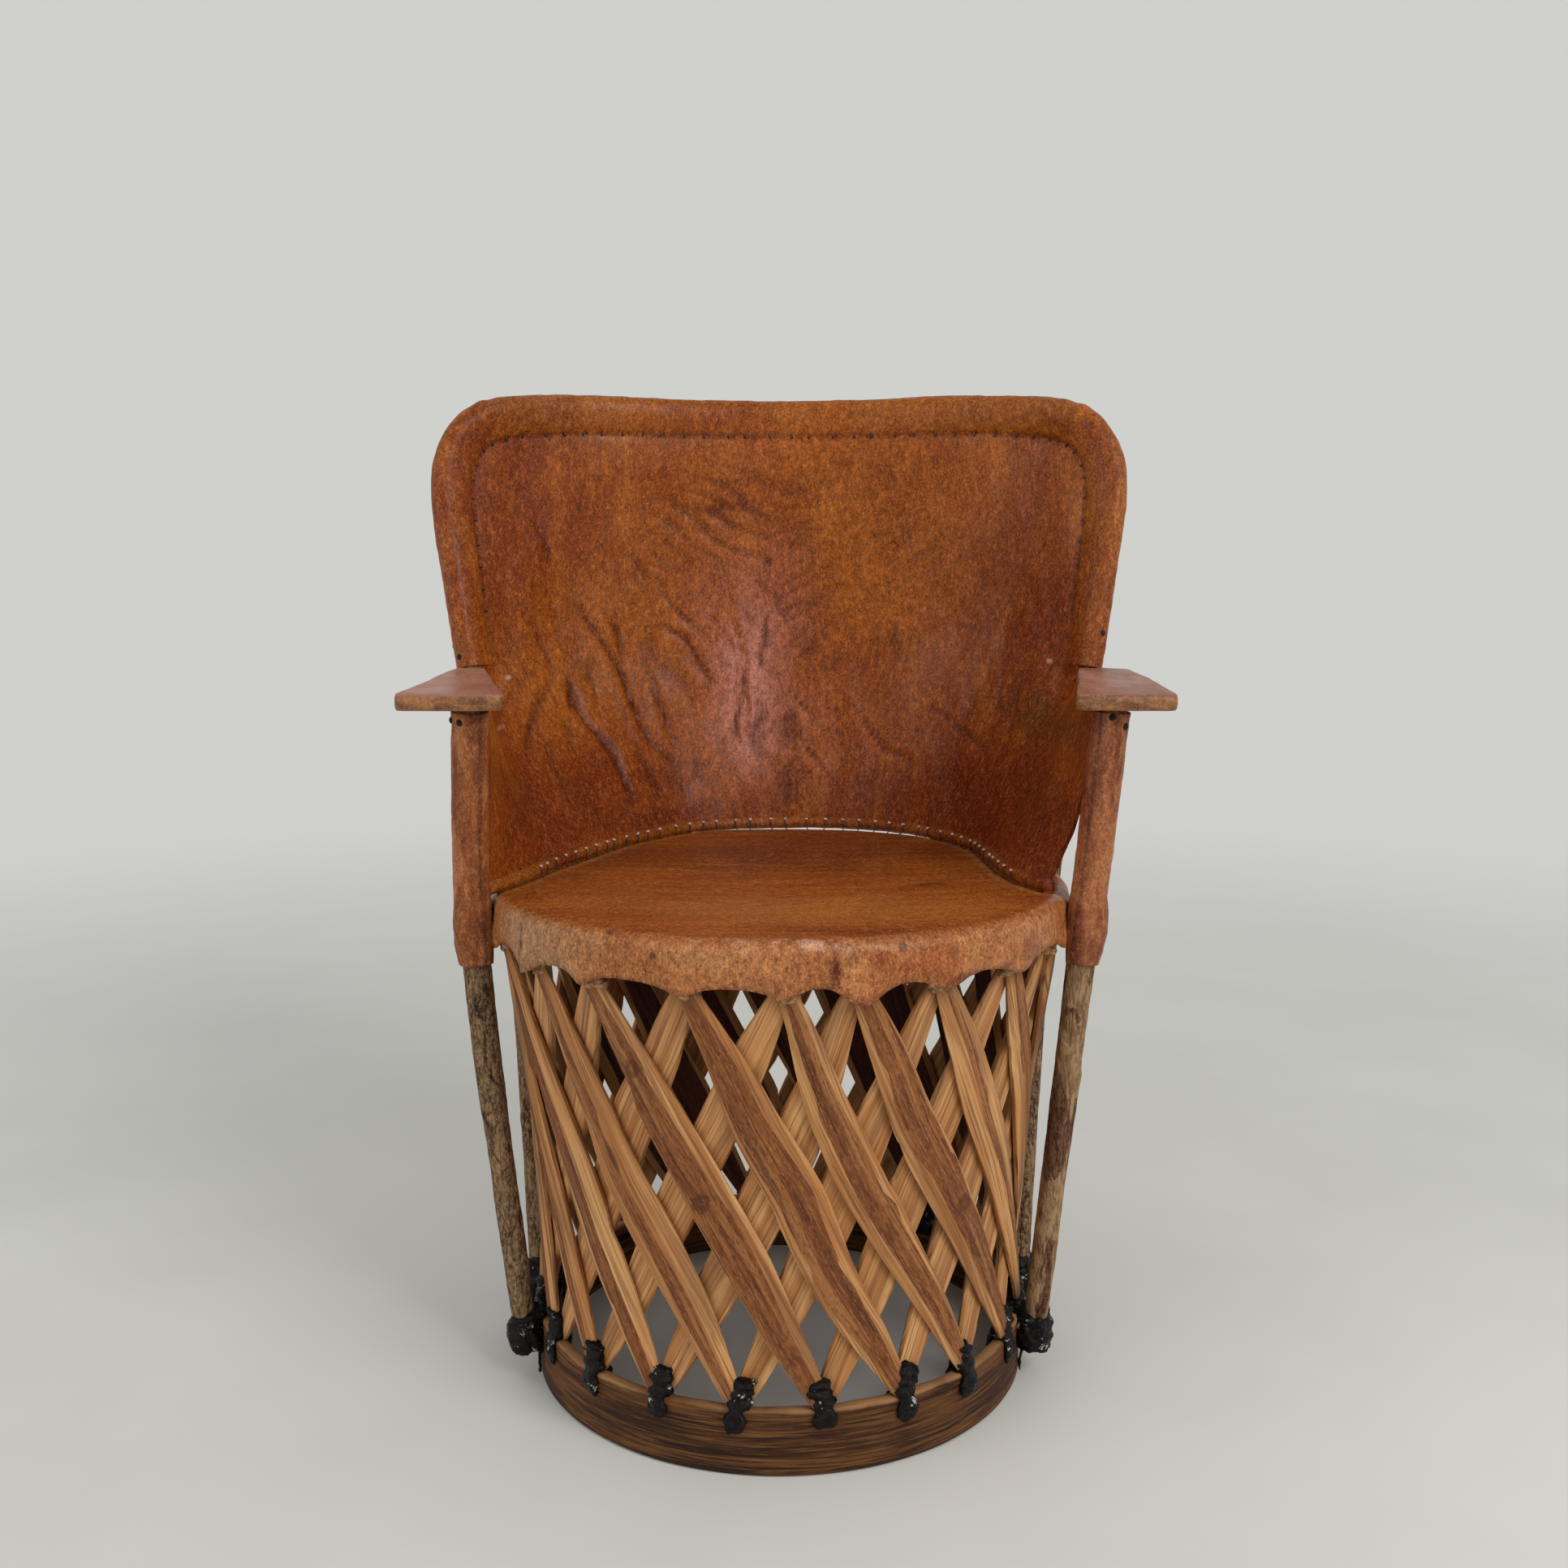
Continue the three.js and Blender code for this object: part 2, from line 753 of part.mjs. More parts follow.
// A patch between four edge curves that meet at its corners
function patchPoint(bottom, top, left, right, across, up) {
  const point = new THREE.Vector3();
  point.addScaledVector(bottom(across), 1 - up).addScaledVector(top(across), up);
  point.addScaledVector(left(up), 1 - across).addScaledVector(right(up), across);
  point.addScaledVector(bottom(0), -(1 - across) * (1 - up)).addScaledVector(bottom(1), -across * (1 - up));
  point.addScaledVector(top(0), -(1 - across) * up).addScaledVector(top(1), -across * up);
  return point;
}

// Middle surface of the sheet: columns from the left post round to the right one, rows upwards
function sheetGrid() {
  const shares = hemPlanShares.length - 1;
  const columns = shares * columnsPerShare;
  const firstRear = legShare * columnsPerShare;
  const hem = hemCurve();
  const armLevel = armLevelCurve();
  const stickCurve = backCurve();
  const corner = leftLegShare(backCornerHeight);
  const rearFrom = legShare / shares;
  const bottom = (across) => armLevel.getPoint(mix(rearFrom, 1 - rearFrom, across));
  const top = (across) => stickCurve.getPointAt(mix(corner, 1 - corner, across));
  const edge = (side) => (up) => legEdge(side, mix(sheetArmHeight(), backCornerHeight, up));
  const grid = [];
  for (let column = 0; column <= columns; column += 1) {
    const share = column / columns;
    const isRear = column >= firstRear && column <= columns - firstRear;
    const points = [];
    for (let row = 0; row <= sheetLowerRows; row += 1) {
      points.push(hem.getPoint(share).lerp(armLevel.getPoint(share), row / sheetLowerRows));
    }
    for (let row = 1; isRear && row <= sheetUpperRows; row += 1) {
      const across = (column - firstRear) / (columns - 2 * firstRear);
      points.push(patchPoint(bottom, top, edge('left'), edge('right'), across, row / sheetUpperRows));
    }
    grid.push(points);
  }
  return grid;
}

// A sheet of even thickness over a grid whose columns may differ in height
function thickSheet(grid, thickness) {
  const at = (column, row) => grid[column]?.[row];
  const near = (column, row, columnStep, rowStep) =>
    at(column + columnStep, row + rowStep) ?? at(column, row);
  const points = [];
  const indices = grid.map((column) => column.map(() => points.push(null, null) - 2));
  grid.forEach((column, c) =>
    column.forEach((point, r) => {
      const across = near(c, r, 1, 0).clone().sub(near(c, r, -1, 0));
      const up = near(c, r, 0, 1).clone().sub(near(c, r, 0, -1));
      const normal = across.cross(up).setLength(thickness / 2);
      points[indices[c][r]] = point.clone().sub(normal);
      points[indices[c][r] + 1] = point.clone().add(normal);
    }),
  );
  const triangles = [];
  const quad = (a, b, c, d) => triangles.push(a, b, c, a, c, d);
  const isCell = (c, r) => Boolean(at(c, r) && at(c + 1, r) && at(c, r + 1) && at(c + 1, r + 1));
  const wall = (from, to) => quad(from, to, to + 1, from + 1);
  for (let c = 0; c < grid.length - 1; c += 1) {
    for (let r = 0; r < grid[c].length - 1; r += 1) {
      if (!isCell(c, r)) continue;
      const [a, b] = [indices[c][r], indices[c + 1][r]];
      const [d, e] = [indices[c][r + 1], indices[c + 1][r + 1]];
      quad(a, d, e, b);
      quad(a + 1, b + 1, e + 1, d + 1);
      if (!isCell(c, r - 1)) wall(a, b);
      if (!isCell(c + 1, r)) wall(b, e);
      if (!isCell(c, r + 1)) wall(e, d);
      if (!isCell(c - 1, r)) wall(d, a);
    }
  }
  return closedGeometry(points, triangles);
}

function hemRodGeometry(margin = 0) {
  return stick(hemCurve(), () => hemRodRadius + margin, hemRodSteps, hemRodSides);
}

function backLeatherSolid() {
  const rollStart = leftLegShare(rollStartHeight());
  const roll = stick(backCurve(), () => rollRadius, rollSteps, backStickSides, rollStart, 1 - rollStart);
  const hem = stick(hemCurve(), () => hemRadius, hemRodSteps, hemRodSides, hemEndShare, 1 - hemEndShare);
  const whole = join([thickSheet(sheetGrid(), leatherThickness), roll, hem]);
  return cut(whole, [
    backStickGeometry(clearance),
    hemRodGeometry(clearance),
    ...Object.keys(sides).map((side) => sleeveGeometry(side, clearance)),
    ...Object.keys(sides).map((side) => armPlate(side, -clearance, -armThickness - clearance, clearance)),
  ]);
}

function hemRodSolid() {
  return cut(
    toSolid(hemRodGeometry()),
    Object.keys(sides).map((side) => sleeveGeometry(side, clearance)),
  );
}

// Arms

function placeArm(geometry) {
  return geometry.rotateX(Math.atan(armRise / armLength)).translate(0, armFrontDepth, armFrontHeight);
}

function armShape(side) {
  const corners = armOutlines[side].map(([spread, share, radius]) => ({
    at: new THREE.Vector2(sides[side] * spread, share * armLength),
    radius,
  }));
  const towards = (from, to) => {
    const step = to.at.clone().sub(from.at).setLength(from.radius);
    return from.at.clone().add(step);
  };
  const shape = new THREE.Shape();
  corners.forEach((corner, index) => {
    const before = corners[(index + corners.length - 1) % corners.length];
    const after = corners[(index + 1) % corners.length];
    const start = towards(corner, before);
    const end = towards(corner, after);
    if (index === 0) shape.moveTo(start.x, start.y);
    else shape.lineTo(start.x, start.y);
    shape.quadraticCurveTo(corner.at.x, corner.at.y, end.x, end.y);
  });
  shape.closePath();
  return shape;
}

// A plate of an arm's outline, drawn in by the inset, between two levels below the arm's top
function armPlate(side, inset, bottom, top) {
  const plate = new THREE.ExtrudeGeometry(armShape(side), {
    depth: top - bottom - 2 * armEdgeRounding,
    bevelThickness: armEdgeRounding,
    bevelSize: armEdgeRounding,
    bevelOffset: -inset - armEdgeRounding,
    bevelSegments: 1,
    curveSegments: armCurveSegments,
  });
  return placeArm(plate.translate(0, 0, bottom + armEdgeRounding));
}

function armBoardSolid(side) {
  const inset = armLeatherThickness + clearance;
  const board = armPlate(side, inset, inset - armThickness, -inset);
  return cut(toSolid(board), [backStickGeometry(clearance)]);
}

// Leather round an arm board, open underneath where the post comes through
function armLeatherSolid(side) {
  const inset = armLeatherThickness;
  const window = new THREE.CylinderGeometry(armWindowRadius, armWindowRadius, armThickness, poleSides);
  window.rotateX(Math.PI / 2);
  window.translate(sides[side] * postTopSpread[side], postTopDepth - armFrontDepth, -armThickness);
  return cut(toSolid(armPlate(side, 0, -armThickness, 0)), [
    armPlate(side, inset, inset - armThickness, -inset),
    placeArm(window),
    backStickGeometry(clearance),
  ]);
}

// Straps: each a loop round one pole that passes through two slots in the base hoop

function leanAt(curve, from, to) {
  const centre = curve.getPointAt(shareAtHeight(curve, strapLevel, from, to));
  return { azimuth: Math.atan2(centre.x, -centre.y), distance: Math.hypot(centre.x, centre.y) };
}

function strapPath(path, halfWidth, distance, innerEnd) {
  path.moveTo(-halfWidth, -innerEnd);
  path.lineTo(-halfWidth, -distance);
  path.absarc(0, -distance, halfWidth, Math.PI, 2 * Math.PI, false);
  path.lineTo(halfWidth, -innerEnd);
  path.closePath();
  return path;
}

function strapGeometry(pole, margin = 0) {
  const innerHalf = pole.radius + clearance;
  const outerHalf = innerHalf + strapThickness;
  const barFace = Math.sqrt((baseHoop.inner * hoopFlatShare) ** 2 - outerHalf ** 2) - clearance;
  const barEnd = barFace - strapThickness;
  const shape = strapPath(new THREE.Shape(), outerHalf + margin, pole.distance, barEnd - margin);
  shape.holes.push(strapPath(new THREE.Path(), innerHalf - margin, pole.distance, barFace + margin));
  const strap = new THREE.ExtrudeGeometry(shape, {
    depth: strapHeight + 2 * margin,
    bevelEnabled: false,
    curveSegments: strapArcSegments,
  });
  return strap.translate(0, 0, strapLevel - strapHeight / 2 - margin).rotateZ(pole.azimuth);
}

function frontPole(side) {
  return { ...leanAt(postCurve(side), 0, 1), radius: postFootRadius, geometry: postGeometry(side, clearance) };
}

function rearPole(side) {
  const left = leanAt(backCurve(), 0, 0.5);
  const azimuth = sides[side] * Math.abs(left.azimuth);
  return { ...left, azimuth, radius: backStickRadius, geometry: backStickGeometry(clearance) };
}

function strapSolid(pole) {
  return cut(toSolid(strapGeometry(pole)), [pole.geometry]);
}

// Finishes: colour, roughness, metalness

const finishes = {
  bark: new THREE.MeshStandardMaterial({ color: '#8a5a38', roughness: 0.75, metalness: 0 }),
  splitWood: new THREE.MeshStandardMaterial({ color: '#c3925a', roughness: 0.7, metalness: 0 }),
  hoopWood: new THREE.MeshStandardMaterial({ color: '#5f4128', roughness: 0.8, metalness: 0 }),
  barkedPole: new THREE.MeshStandardMaterial({ color: '#7a5a3c', roughness: 0.85, metalness: 0 }),
  thong: new THREE.MeshStandardMaterial({ color: '#282422', roughness: 0.55, metalness: 0 }),
  rawhide: new THREE.MeshStandardMaterial({ color: '#b9956a', roughness: 0.7, metalness: 0 }),
  seatLeather: new THREE.MeshStandardMaterial({ color: '#9a531f', roughness: 0.45, metalness: 0 }),
  backLeather: new THREE.MeshStandardMaterial({ color: '#8f4a20', roughness: 0.45, metalness: 0 }),
  trimLeather: new THREE.MeshStandardMaterial({ color: '#955a38', roughness: 0.5, metalness: 0 }),
};

function piece(name, shape, finish) {
  const geometry = shape instanceof THREE.BufferGeometry ? shape : toGeometry(shape);
  const mesh = new THREE.Mesh(geometry, finish);
  mesh.name = name;
  return mesh;
}

function drum() {
  const group = new THREE.Group();
  const poles = Object.keys(sides).flatMap((side) => [frontPole(side), rearPole(side)]);
  const slots = poles.map((pole) => strapGeometry(pole, clearance));
  group.add(piece('base_hoop', cut(hoopSolid(baseHoop), slots), finishes.hoopWood));
  group.add(piece('base_lashing', lashingSolid(baseHoop), finishes.thong));
  group.add(piece('seat_hoop', hoopSolid(seatHoop), finishes.hoopWood));
  group.add(piece('seat_lashing', lashingSolid(seatHoop), finishes.rawhide));
  for (const [layerName, layer] of Object.entries(slatLayers)) {
    const finish = layerName === 'outer' ? finishes.bark : finishes.splitWood;
    for (let index = 0; index < knotCount; index += 1) {
      const number = String(index + 1).padStart(2, '0');
      group.add(piece(`${layerName}_slat_${number}`, slatGeometry(layer, index), finish));
    }
  }
  return group;
}

function seat() {
  const group = new THREE.Group();
  group.add(piece('seat_leather', seatLeatherGeometry(), finishes.seatLeather));
  return group;
}

function front() {
  const group = new THREE.Group();
  for (const side of Object.keys(sides)) {
    group.add(piece(`front_post_${side}`, postSolid(side), finishes.barkedPole));
    group.add(piece(`post_sleeve_${side}`, sleeveSolid(side), finishes.trimLeather));
    group.add(piece(`post_strap_${side}`, strapSolid(frontPole(side)), finishes.thong));
    group.add(piece(`arm_board_${side}`, armBoardSolid(side), finishes.splitWood));
    group.add(piece(`arm_leather_${side}`, armLeatherSolid(side), finishes.trimLeather));
  }
  return group;
}

function back() {
  const group = new THREE.Group();
  group.add(piece('back_stick', backStickGeometry(), finishes.barkedPole));
  group.add(piece('back_hem_rod', hemRodSolid(), finishes.splitWood));
  group.add(piece('back_leather', backLeatherSolid(), finishes.backLeather));
  for (const side of Object.keys(sides)) {
    group.add(piece(`rear_leg_strap_${side}`, strapSolid(rearPole(side)), finishes.thong));
  }
  return group;
}

function centredOnFootprint(group) {
  group.updateMatrixWorld(true);
  const middle = new THREE.Box3().setFromObject(group, true).getCenter(new THREE.Vector3());
  group.position.set(-middle.x, -middle.y, 0);
  return group;
}

const chair = new THREE.Group();
chair.add(drum(), seat(), front(), back());

const model = new THREE.Group();
model.add(centredOnFootprint(chair));

export default model;
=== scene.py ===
"""Equipale chair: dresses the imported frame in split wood, bark, thongs and worn leather.

Sizes are millimetres in the chair's own frame, as in the part's source: the drum's axis is
x = y = 0, the floor is z = 0, and the chair faces -Y. row_frame() turns them into metres.
Colours are the 0 to 255 values that they show as.
"""

import logging
import math
from dataclasses import dataclass, field
from enum import Enum
from typing import Callable, Mapping, Sequence

import bpy
import numpy as np
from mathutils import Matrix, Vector


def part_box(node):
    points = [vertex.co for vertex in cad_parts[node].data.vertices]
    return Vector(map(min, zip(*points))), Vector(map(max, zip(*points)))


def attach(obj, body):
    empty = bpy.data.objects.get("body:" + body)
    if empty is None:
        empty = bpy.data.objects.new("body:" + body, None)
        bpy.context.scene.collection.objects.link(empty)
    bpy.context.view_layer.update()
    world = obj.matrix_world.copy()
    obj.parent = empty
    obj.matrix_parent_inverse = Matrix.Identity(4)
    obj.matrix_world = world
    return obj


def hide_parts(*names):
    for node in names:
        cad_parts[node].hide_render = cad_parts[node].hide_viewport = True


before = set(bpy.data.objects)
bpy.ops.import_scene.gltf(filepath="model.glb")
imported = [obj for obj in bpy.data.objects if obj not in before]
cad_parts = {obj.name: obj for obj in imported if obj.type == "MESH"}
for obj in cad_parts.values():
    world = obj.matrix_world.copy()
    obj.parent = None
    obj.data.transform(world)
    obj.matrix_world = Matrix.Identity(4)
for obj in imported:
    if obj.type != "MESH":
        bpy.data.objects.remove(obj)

log = logging.getLogger("equipale")
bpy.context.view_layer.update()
AXIS_DEPTH = sum(corner[1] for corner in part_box("base_hoop")) / 2
FULL_TURN = 2 * math.pi
FORWARD = np.array([0.0, -1.0, 0.0])
FAR = 1e9

Table = np.ndarray
Piece = bpy.types.Object
Triple = tuple[float, float, float]


class Side(Enum):
    """Left and right of someone who stands in front of the chair."""

    LEFT = "left"
    RIGHT = "right"

    @property
    def sign(self) -> int:
        """-1 on the left and 1 on the right."""
        return -1 if self is Side.LEFT else 1


class Layer(Enum):
    """The two layers of slats."""

    OUTER = "outer"
    INNER = "inner"

    @property
    def sign(self) -> int:
        """1 for the outer layer and -1 for the inner one."""
        return 1 if self is Layer.OUTER else -1


# ---- geometry ---------------------------------------------------------------------------


def row_frame(points: Table) -> Table:
    """Points in metres in the row frame, from millimetres about the drum's axis."""
    return np.asarray(points) * 0.001 + np.array([0.0, AXIS_DEPTH, 0.0])


def cylindrical(azimuth: float, radius: float, height: float) -> Table:
    """A point at an azimuth in degrees, turned from the front towards the right."""
    angle = math.radians(azimuth)
    return np.array([radius * math.sin(angle), -radius * math.cos(angle), height])


def around(angle: Table, radius: Table, height: Table) -> Table:
    """Points at angles in radians, turned from the front towards the right."""
    return np.stack(np.broadcast_arrays(radius * np.sin(angle), -radius * np.cos(angle), height), -1)


def spun(points: Table, azimuths: Table) -> Table:
    """Points turned about the drum's axis by azimuths in degrees."""
    angle = np.radians(azimuths)
    x, y, z = points[..., 0], points[..., 1], points[..., 2]
    return np.stack([x * np.cos(angle) - y * np.sin(angle),
                     x * np.sin(angle) + y * np.cos(angle), z + 0 * angle], -1)


def smooth(value: Table, low: float, high: float) -> Table:
    """0 below low, 1 above high, and a smooth step between them."""
    share = np.clip((np.asarray(value, float) - low) / (high - low), 0, 1)
    return share * share * (3 - 2 * share)


def bell(value: Table, width: float) -> Table:
    """1 at zero, falling off smoothly over a width."""
    return np.exp(-(value / width) ** 2)


def unit(vectors: Table) -> Table:
    """The vectors with length 1."""
    return vectors / np.maximum(np.linalg.norm(vectors, axis=-1, keepdims=True), 1e-9)


def across_heading(vectors: Table, headings: Table) -> Table:
    """Unit directions at right angles to headings, nearest to the vectors."""
    return unit(vectors - headings * np.sum(vectors * headings, -1, keepdims=True))


def travel(points: Table) -> Table:
    """How far along a line of points each of them is."""
    gaps = np.linalg.norm(np.diff(points, axis=0), axis=1)
    return np.concatenate([[0], np.cumsum(gaps)])


def handmade(index: int) -> float:
    """A steady, well spread value from -1 to 1, the same as in the part's source."""
    return 2 * ((index * (math.sqrt(5) - 1) / 2) % 1) - 1


class Ripple:
    """Smooth seeded unevenness: a few crossing waves of about one length."""

    def __init__(self, seed: int, length: float, size: int = 3) -> None:
        """Draws the waves.

        Args:
            seed: which pattern.
            length: the typical wave length, in the points' own unit.
            size: the number of coordinates of a point.
        """
        waves = 7
        draw = np.random.default_rng(seed)
        turns = unit(draw.normal(size=(waves, size)))
        self.pitch = turns * (FULL_TURN / length * draw.uniform(0.6, 1.7, (waves, 1)))
        self.phase = draw.uniform(0, FULL_TURN, waves)

    def __call__(self, points: Table) -> Table:
        """The unevenness at points, about -1 to 1."""
        waves = np.sin(np.asarray(points) @ self.pitch.T + self.phase)
        return waves.sum(axis=-1) / math.sqrt(2 * len(self.phase))


class Path:
    """A smooth curve through points, the same as the part's source draws."""

    def __init__(self, points: Sequence[Sequence[float]], dense: int = 40) -> None:
        """Samples the curve.

        Args:
            points: what it goes through, in millimetres.
            dense: samples between two of them.
        """
        through = np.asarray(points, float)
        ends = (2 * through[0] - through[1], 2 * through[-1] - through[-2])
        extended = np.vstack([ends[0], through, ends[1]])
        steps = np.linspace(0, 1, dense, endpoint=False)[:, None]
        rows = []
        for index in range(len(through) - 1):
            before, here, there, after = extended[index:index + 4]
            gaps = [max(np.linalg.norm(b - a), 1e-6) ** 0.5
                    for a, b in ((before, here), (here, there), (there, after))]
            start = ((here - before) / gaps[0] - (there - before) / (gaps[0] + gaps[1])) * gaps[1]
            start += there - here
            finish = ((after - there) / gaps[2] - (after - here) / (gaps[1] + gaps[2])) * gaps[1]
            finish += there - here
            rows.append(
                here + start * steps
                + (3 * (there - here) - 2 * start - finish) * steps ** 2
                + (2 * (here - there) + start + finish) * steps ** 3
            )
        rows.append(through[-1:])
        self.samples = np.vstack(rows)
        self.evenly = np.linspace(0, 1, len(self.samples))
        lengths = np.linalg.norm(np.diff(self.samples, axis=0), axis=1)
        self.length = float(lengths.sum())
        self.travelled = np.concatenate([[0], np.cumsum(lengths)]) / self.length

    def _at(self, shares: Table, scale: Table) -> Table:
        """Points at shares of a scale."""
        flat = np.ravel(shares)
        points = np.stack([np.interp(flat, scale, self.samples[:, k]) for k in range(3)], -1)
        return points.reshape(np.shape(shares) + (3,))

    def by_point(self, shares: Table) -> Table:
        """Points at shares of the number of points that the curve goes through."""
        return self._at(shares, self.evenly)

    def by_length(self, shares: Table) -> Table:
        """Points at shares of the curve's length."""
        return self._at(shares, self.travelled)

    def heading(self, shares: Table) -> Table:
        """Directions at shares of the curve's length."""
        step = 0.002
        ahead = self.by_length(np.clip(np.asarray(shares) + step, 0, 1))
        return unit(ahead - self.by_length(np.clip(np.asarray(shares) - step, 0, 1)))

    def share_at_height(self, height: float, last: float = 1) -> float:
        """The share of the length at which the curve, rising up to last, reaches a height."""
        inside = self.travelled <= last
        return float(np.interp(height, self.samples[inside, 2], self.travelled[inside]))


def curve(points: Sequence[Sequence[float]], count: int, dense: int = 40) -> Table:
    """Evenly spaced points of a smooth curve through points."""
    return Path(points, dense).by_length(np.linspace(0, 1, count))


def transport(centres: Table) -> tuple[Table, Table]:
    """Two directions across a line of points, carried along it without twist.

    Args:
        centres: the line's points.

    Returns:
        The two directions at each point.
    """
    headings = unit(np.gradient(centres, axis=0))
    current = np.array([0.0, 0.0, 1.0]) if abs(headings[0][2]) < 0.8 else np.array([1.0, 0.0, 0.0])
    first = np.zeros_like(centres)
    for index, heading in enumerate(headings):
        current = unit(current - heading * np.dot(current, heading))
        first[index] = current
    return first, np.cross(headings, first)


# ---- bpy helpers ------------------------------------------------------------------------


def select(*pieces: Piece) -> None:
    """Selects only these pieces and makes the first one active."""
    bpy.ops.object.select_all(action="DESELECT")
    for piece in pieces:
        piece.select_set(True)
    bpy.context.view_layer.objects.active = pieces[0]


def edit(piece: Piece, *steps: Callable[[], object]) -> None:
    """Runs edit-mode operators on all of a piece."""
    select(piece)
    bpy.ops.object.mode_set(mode="EDIT")
    bpy.ops.mesh.select_all(action="SELECT")
    for step in steps:
        step()
    bpy.ops.object.mode_set(mode="OBJECT")


def finish_with(piece: Piece, kind: str, **settings: object) -> None:
    """Adds a modifier to a piece and applies it."""
    select(piece)
    modifier = piece.modifiers.new(kind.lower(), kind)
    for name, value in settings.items():
        setattr(modifier, name, value)
    bpy.ops.object.modifier_apply(modifier=modifier.name)


def shade(piece: Piece, angle: float) -> None:
    """Shades a piece smooth, apart from edges sharper than an angle in degrees."""
    select(piece)
    bpy.ops.object.shade_smooth_by_angle(angle=math.radians(angle))


def weld() -> None:
    """Merges doubles in edit mode."""
    bpy.ops.mesh.remove_doubles(threshold=2e-6)


def face_outwards() -> None:
    """Turns the faces of a closed body outwards, in edit mode."""
    bpy.ops.mesh.normals_make_consistent(inside=False)


def triples(items: bpy.types.bpy_prop_collection, what: str) -> Table:
    """Three numbers of each of a mesh's vertices or faces."""
    flat = np.zeros(len(items) * 3, np.float32)
    items.foreach_get(what, flat)
    return flat.reshape(-1, 3)


def surface(name: str, table: Table, values: Mapping[str, Table] | None = None,
            keep: Table | None = None, closed: bool = True, angle: float = 40) -> Piece:
    """A surface through a table of points, from a flat grid that is moved into place.

    Args:
        name: the piece's name.
        table: points in millimetres, as columns of rows.
        values: numbers for each point, kept as attributes for the materials.
        keep: for each face, whether it stays.
        closed: whether welding the table's edges closes the body.
        angle: the sharpest edge, in degrees, that is shaded smooth.

    Returns:
        The piece, with its place in its mesh.
    """
    counts = np.array(table.shape[:2]) - 1
    bpy.ops.object.select_all(action="DESELECT")
    bpy.ops.mesh.primitive_grid_add(x_subdivisions=counts[0], y_subdivisions=counts[1], size=1.0)
    piece = bpy.context.object
    piece.name = piece.data.name = name
    mesh = piece.data
    column, row = np.rint((triples(mesh.vertices, "co")[:, :2] + 0.5) * counts).astype(int).T
    for label, value in (values or {}).items():
        kind, what = ("FLOAT_VECTOR", "vector") if value.ndim == 3 else ("FLOAT", "value")
        attribute = mesh.attributes.new(label, kind, "POINT")
        attribute.data.foreach_set(what, value[column, row].astype(np.float32).ravel())
    if keep is not None:
        cells = np.floor((triples(mesh.polygons, "center")[:, :2] + 0.5) * counts).astype(int)
        bpy.ops.object.mode_set(mode="EDIT")
        bpy.ops.mesh.select_all(action="DESELECT")
        bpy.ops.object.mode_set(mode="OBJECT")
        mesh.polygons.foreach_set("select", ~keep[cells[:, 0], cells[:, 1]])
    mesh.vertices.foreach_set("co", row_frame(table[column, row]).astype(np.float32).ravel())
    if keep is not None:
        bpy.ops.object.mode_set(mode="EDIT")
        bpy.ops.mesh.delete(type="FACE")
        bpy.ops.object.mode_set(mode="OBJECT")
    mesh.update()
    if closed:
        edit(piece, weld, face_outwards)
    shade(piece, angle)
    return piece


def tube_table(centres: Table, radii: Table, sides: int, across: Table | None = None,
               flat: float = 1.0) -> Table:
    """The points of a rod with rounded ends, as columns along it and rows round it.

    Args:
        centres: the rod's middle line.
        radii: one radius for each centre, or one for each centre and side.
        sides: faces round the rod.
        across: a direction across the rod, or None for any.
        flat: thickness along that direction as a share of the width.

    Returns:
        The table for surface().
    """
    headings = unit(np.gradient(centres, axis=0))
    if across is None:
        first, second = transport(centres)
    else:
        first = across_heading(across, headings)
        second = np.cross(headings, first)
    radii = np.asarray(radii, float)
    radii = np.repeat(radii[:, None], sides, 1) if radii.ndim == 1 else radii
    angles = np.linspace(0, FULL_TURN, sides, endpoint=False)
    ring = (first[:, None] * (np.cos(angles)[None, :, None] * flat)
            + second[:, None] * np.sin(angles)[None, :, None]) * radii[:, :, None]
    caps = []
    for end, direction in ((0, -1), (-1, 1)):
        bulge = headings[end] * direction * 0.35 * radii[end].mean()
        caps.append(np.array([centres[end] + ring[end] * size + bulge * out
                              for size, out in ((0.8, 0.55), (0.45, 0.9), (0.0, 1.0))]))
    table = np.concatenate([caps[0][::-1], centres[:, None] + ring, caps[1]])
    return np.concatenate([table, table[:, :1]], axis=1)


def rod(name: str, centres: Table, radii: Table, sides: int = 12, **options: object) -> Piece:
    """A rod with rounded ends; see tube_table for the options."""
    return surface(name, tube_table(centres, radii, sides, **options))


def nail(head: Table, way: Table) -> Piece:
    """A nail's round head at a point, with its shank towards the wood."""
    line = np.array([head - way * 2, head - way, head, head + way * 0.8])
    return rod("nail", line, [1.2, 3.1, 3.1, 2.2], 12)


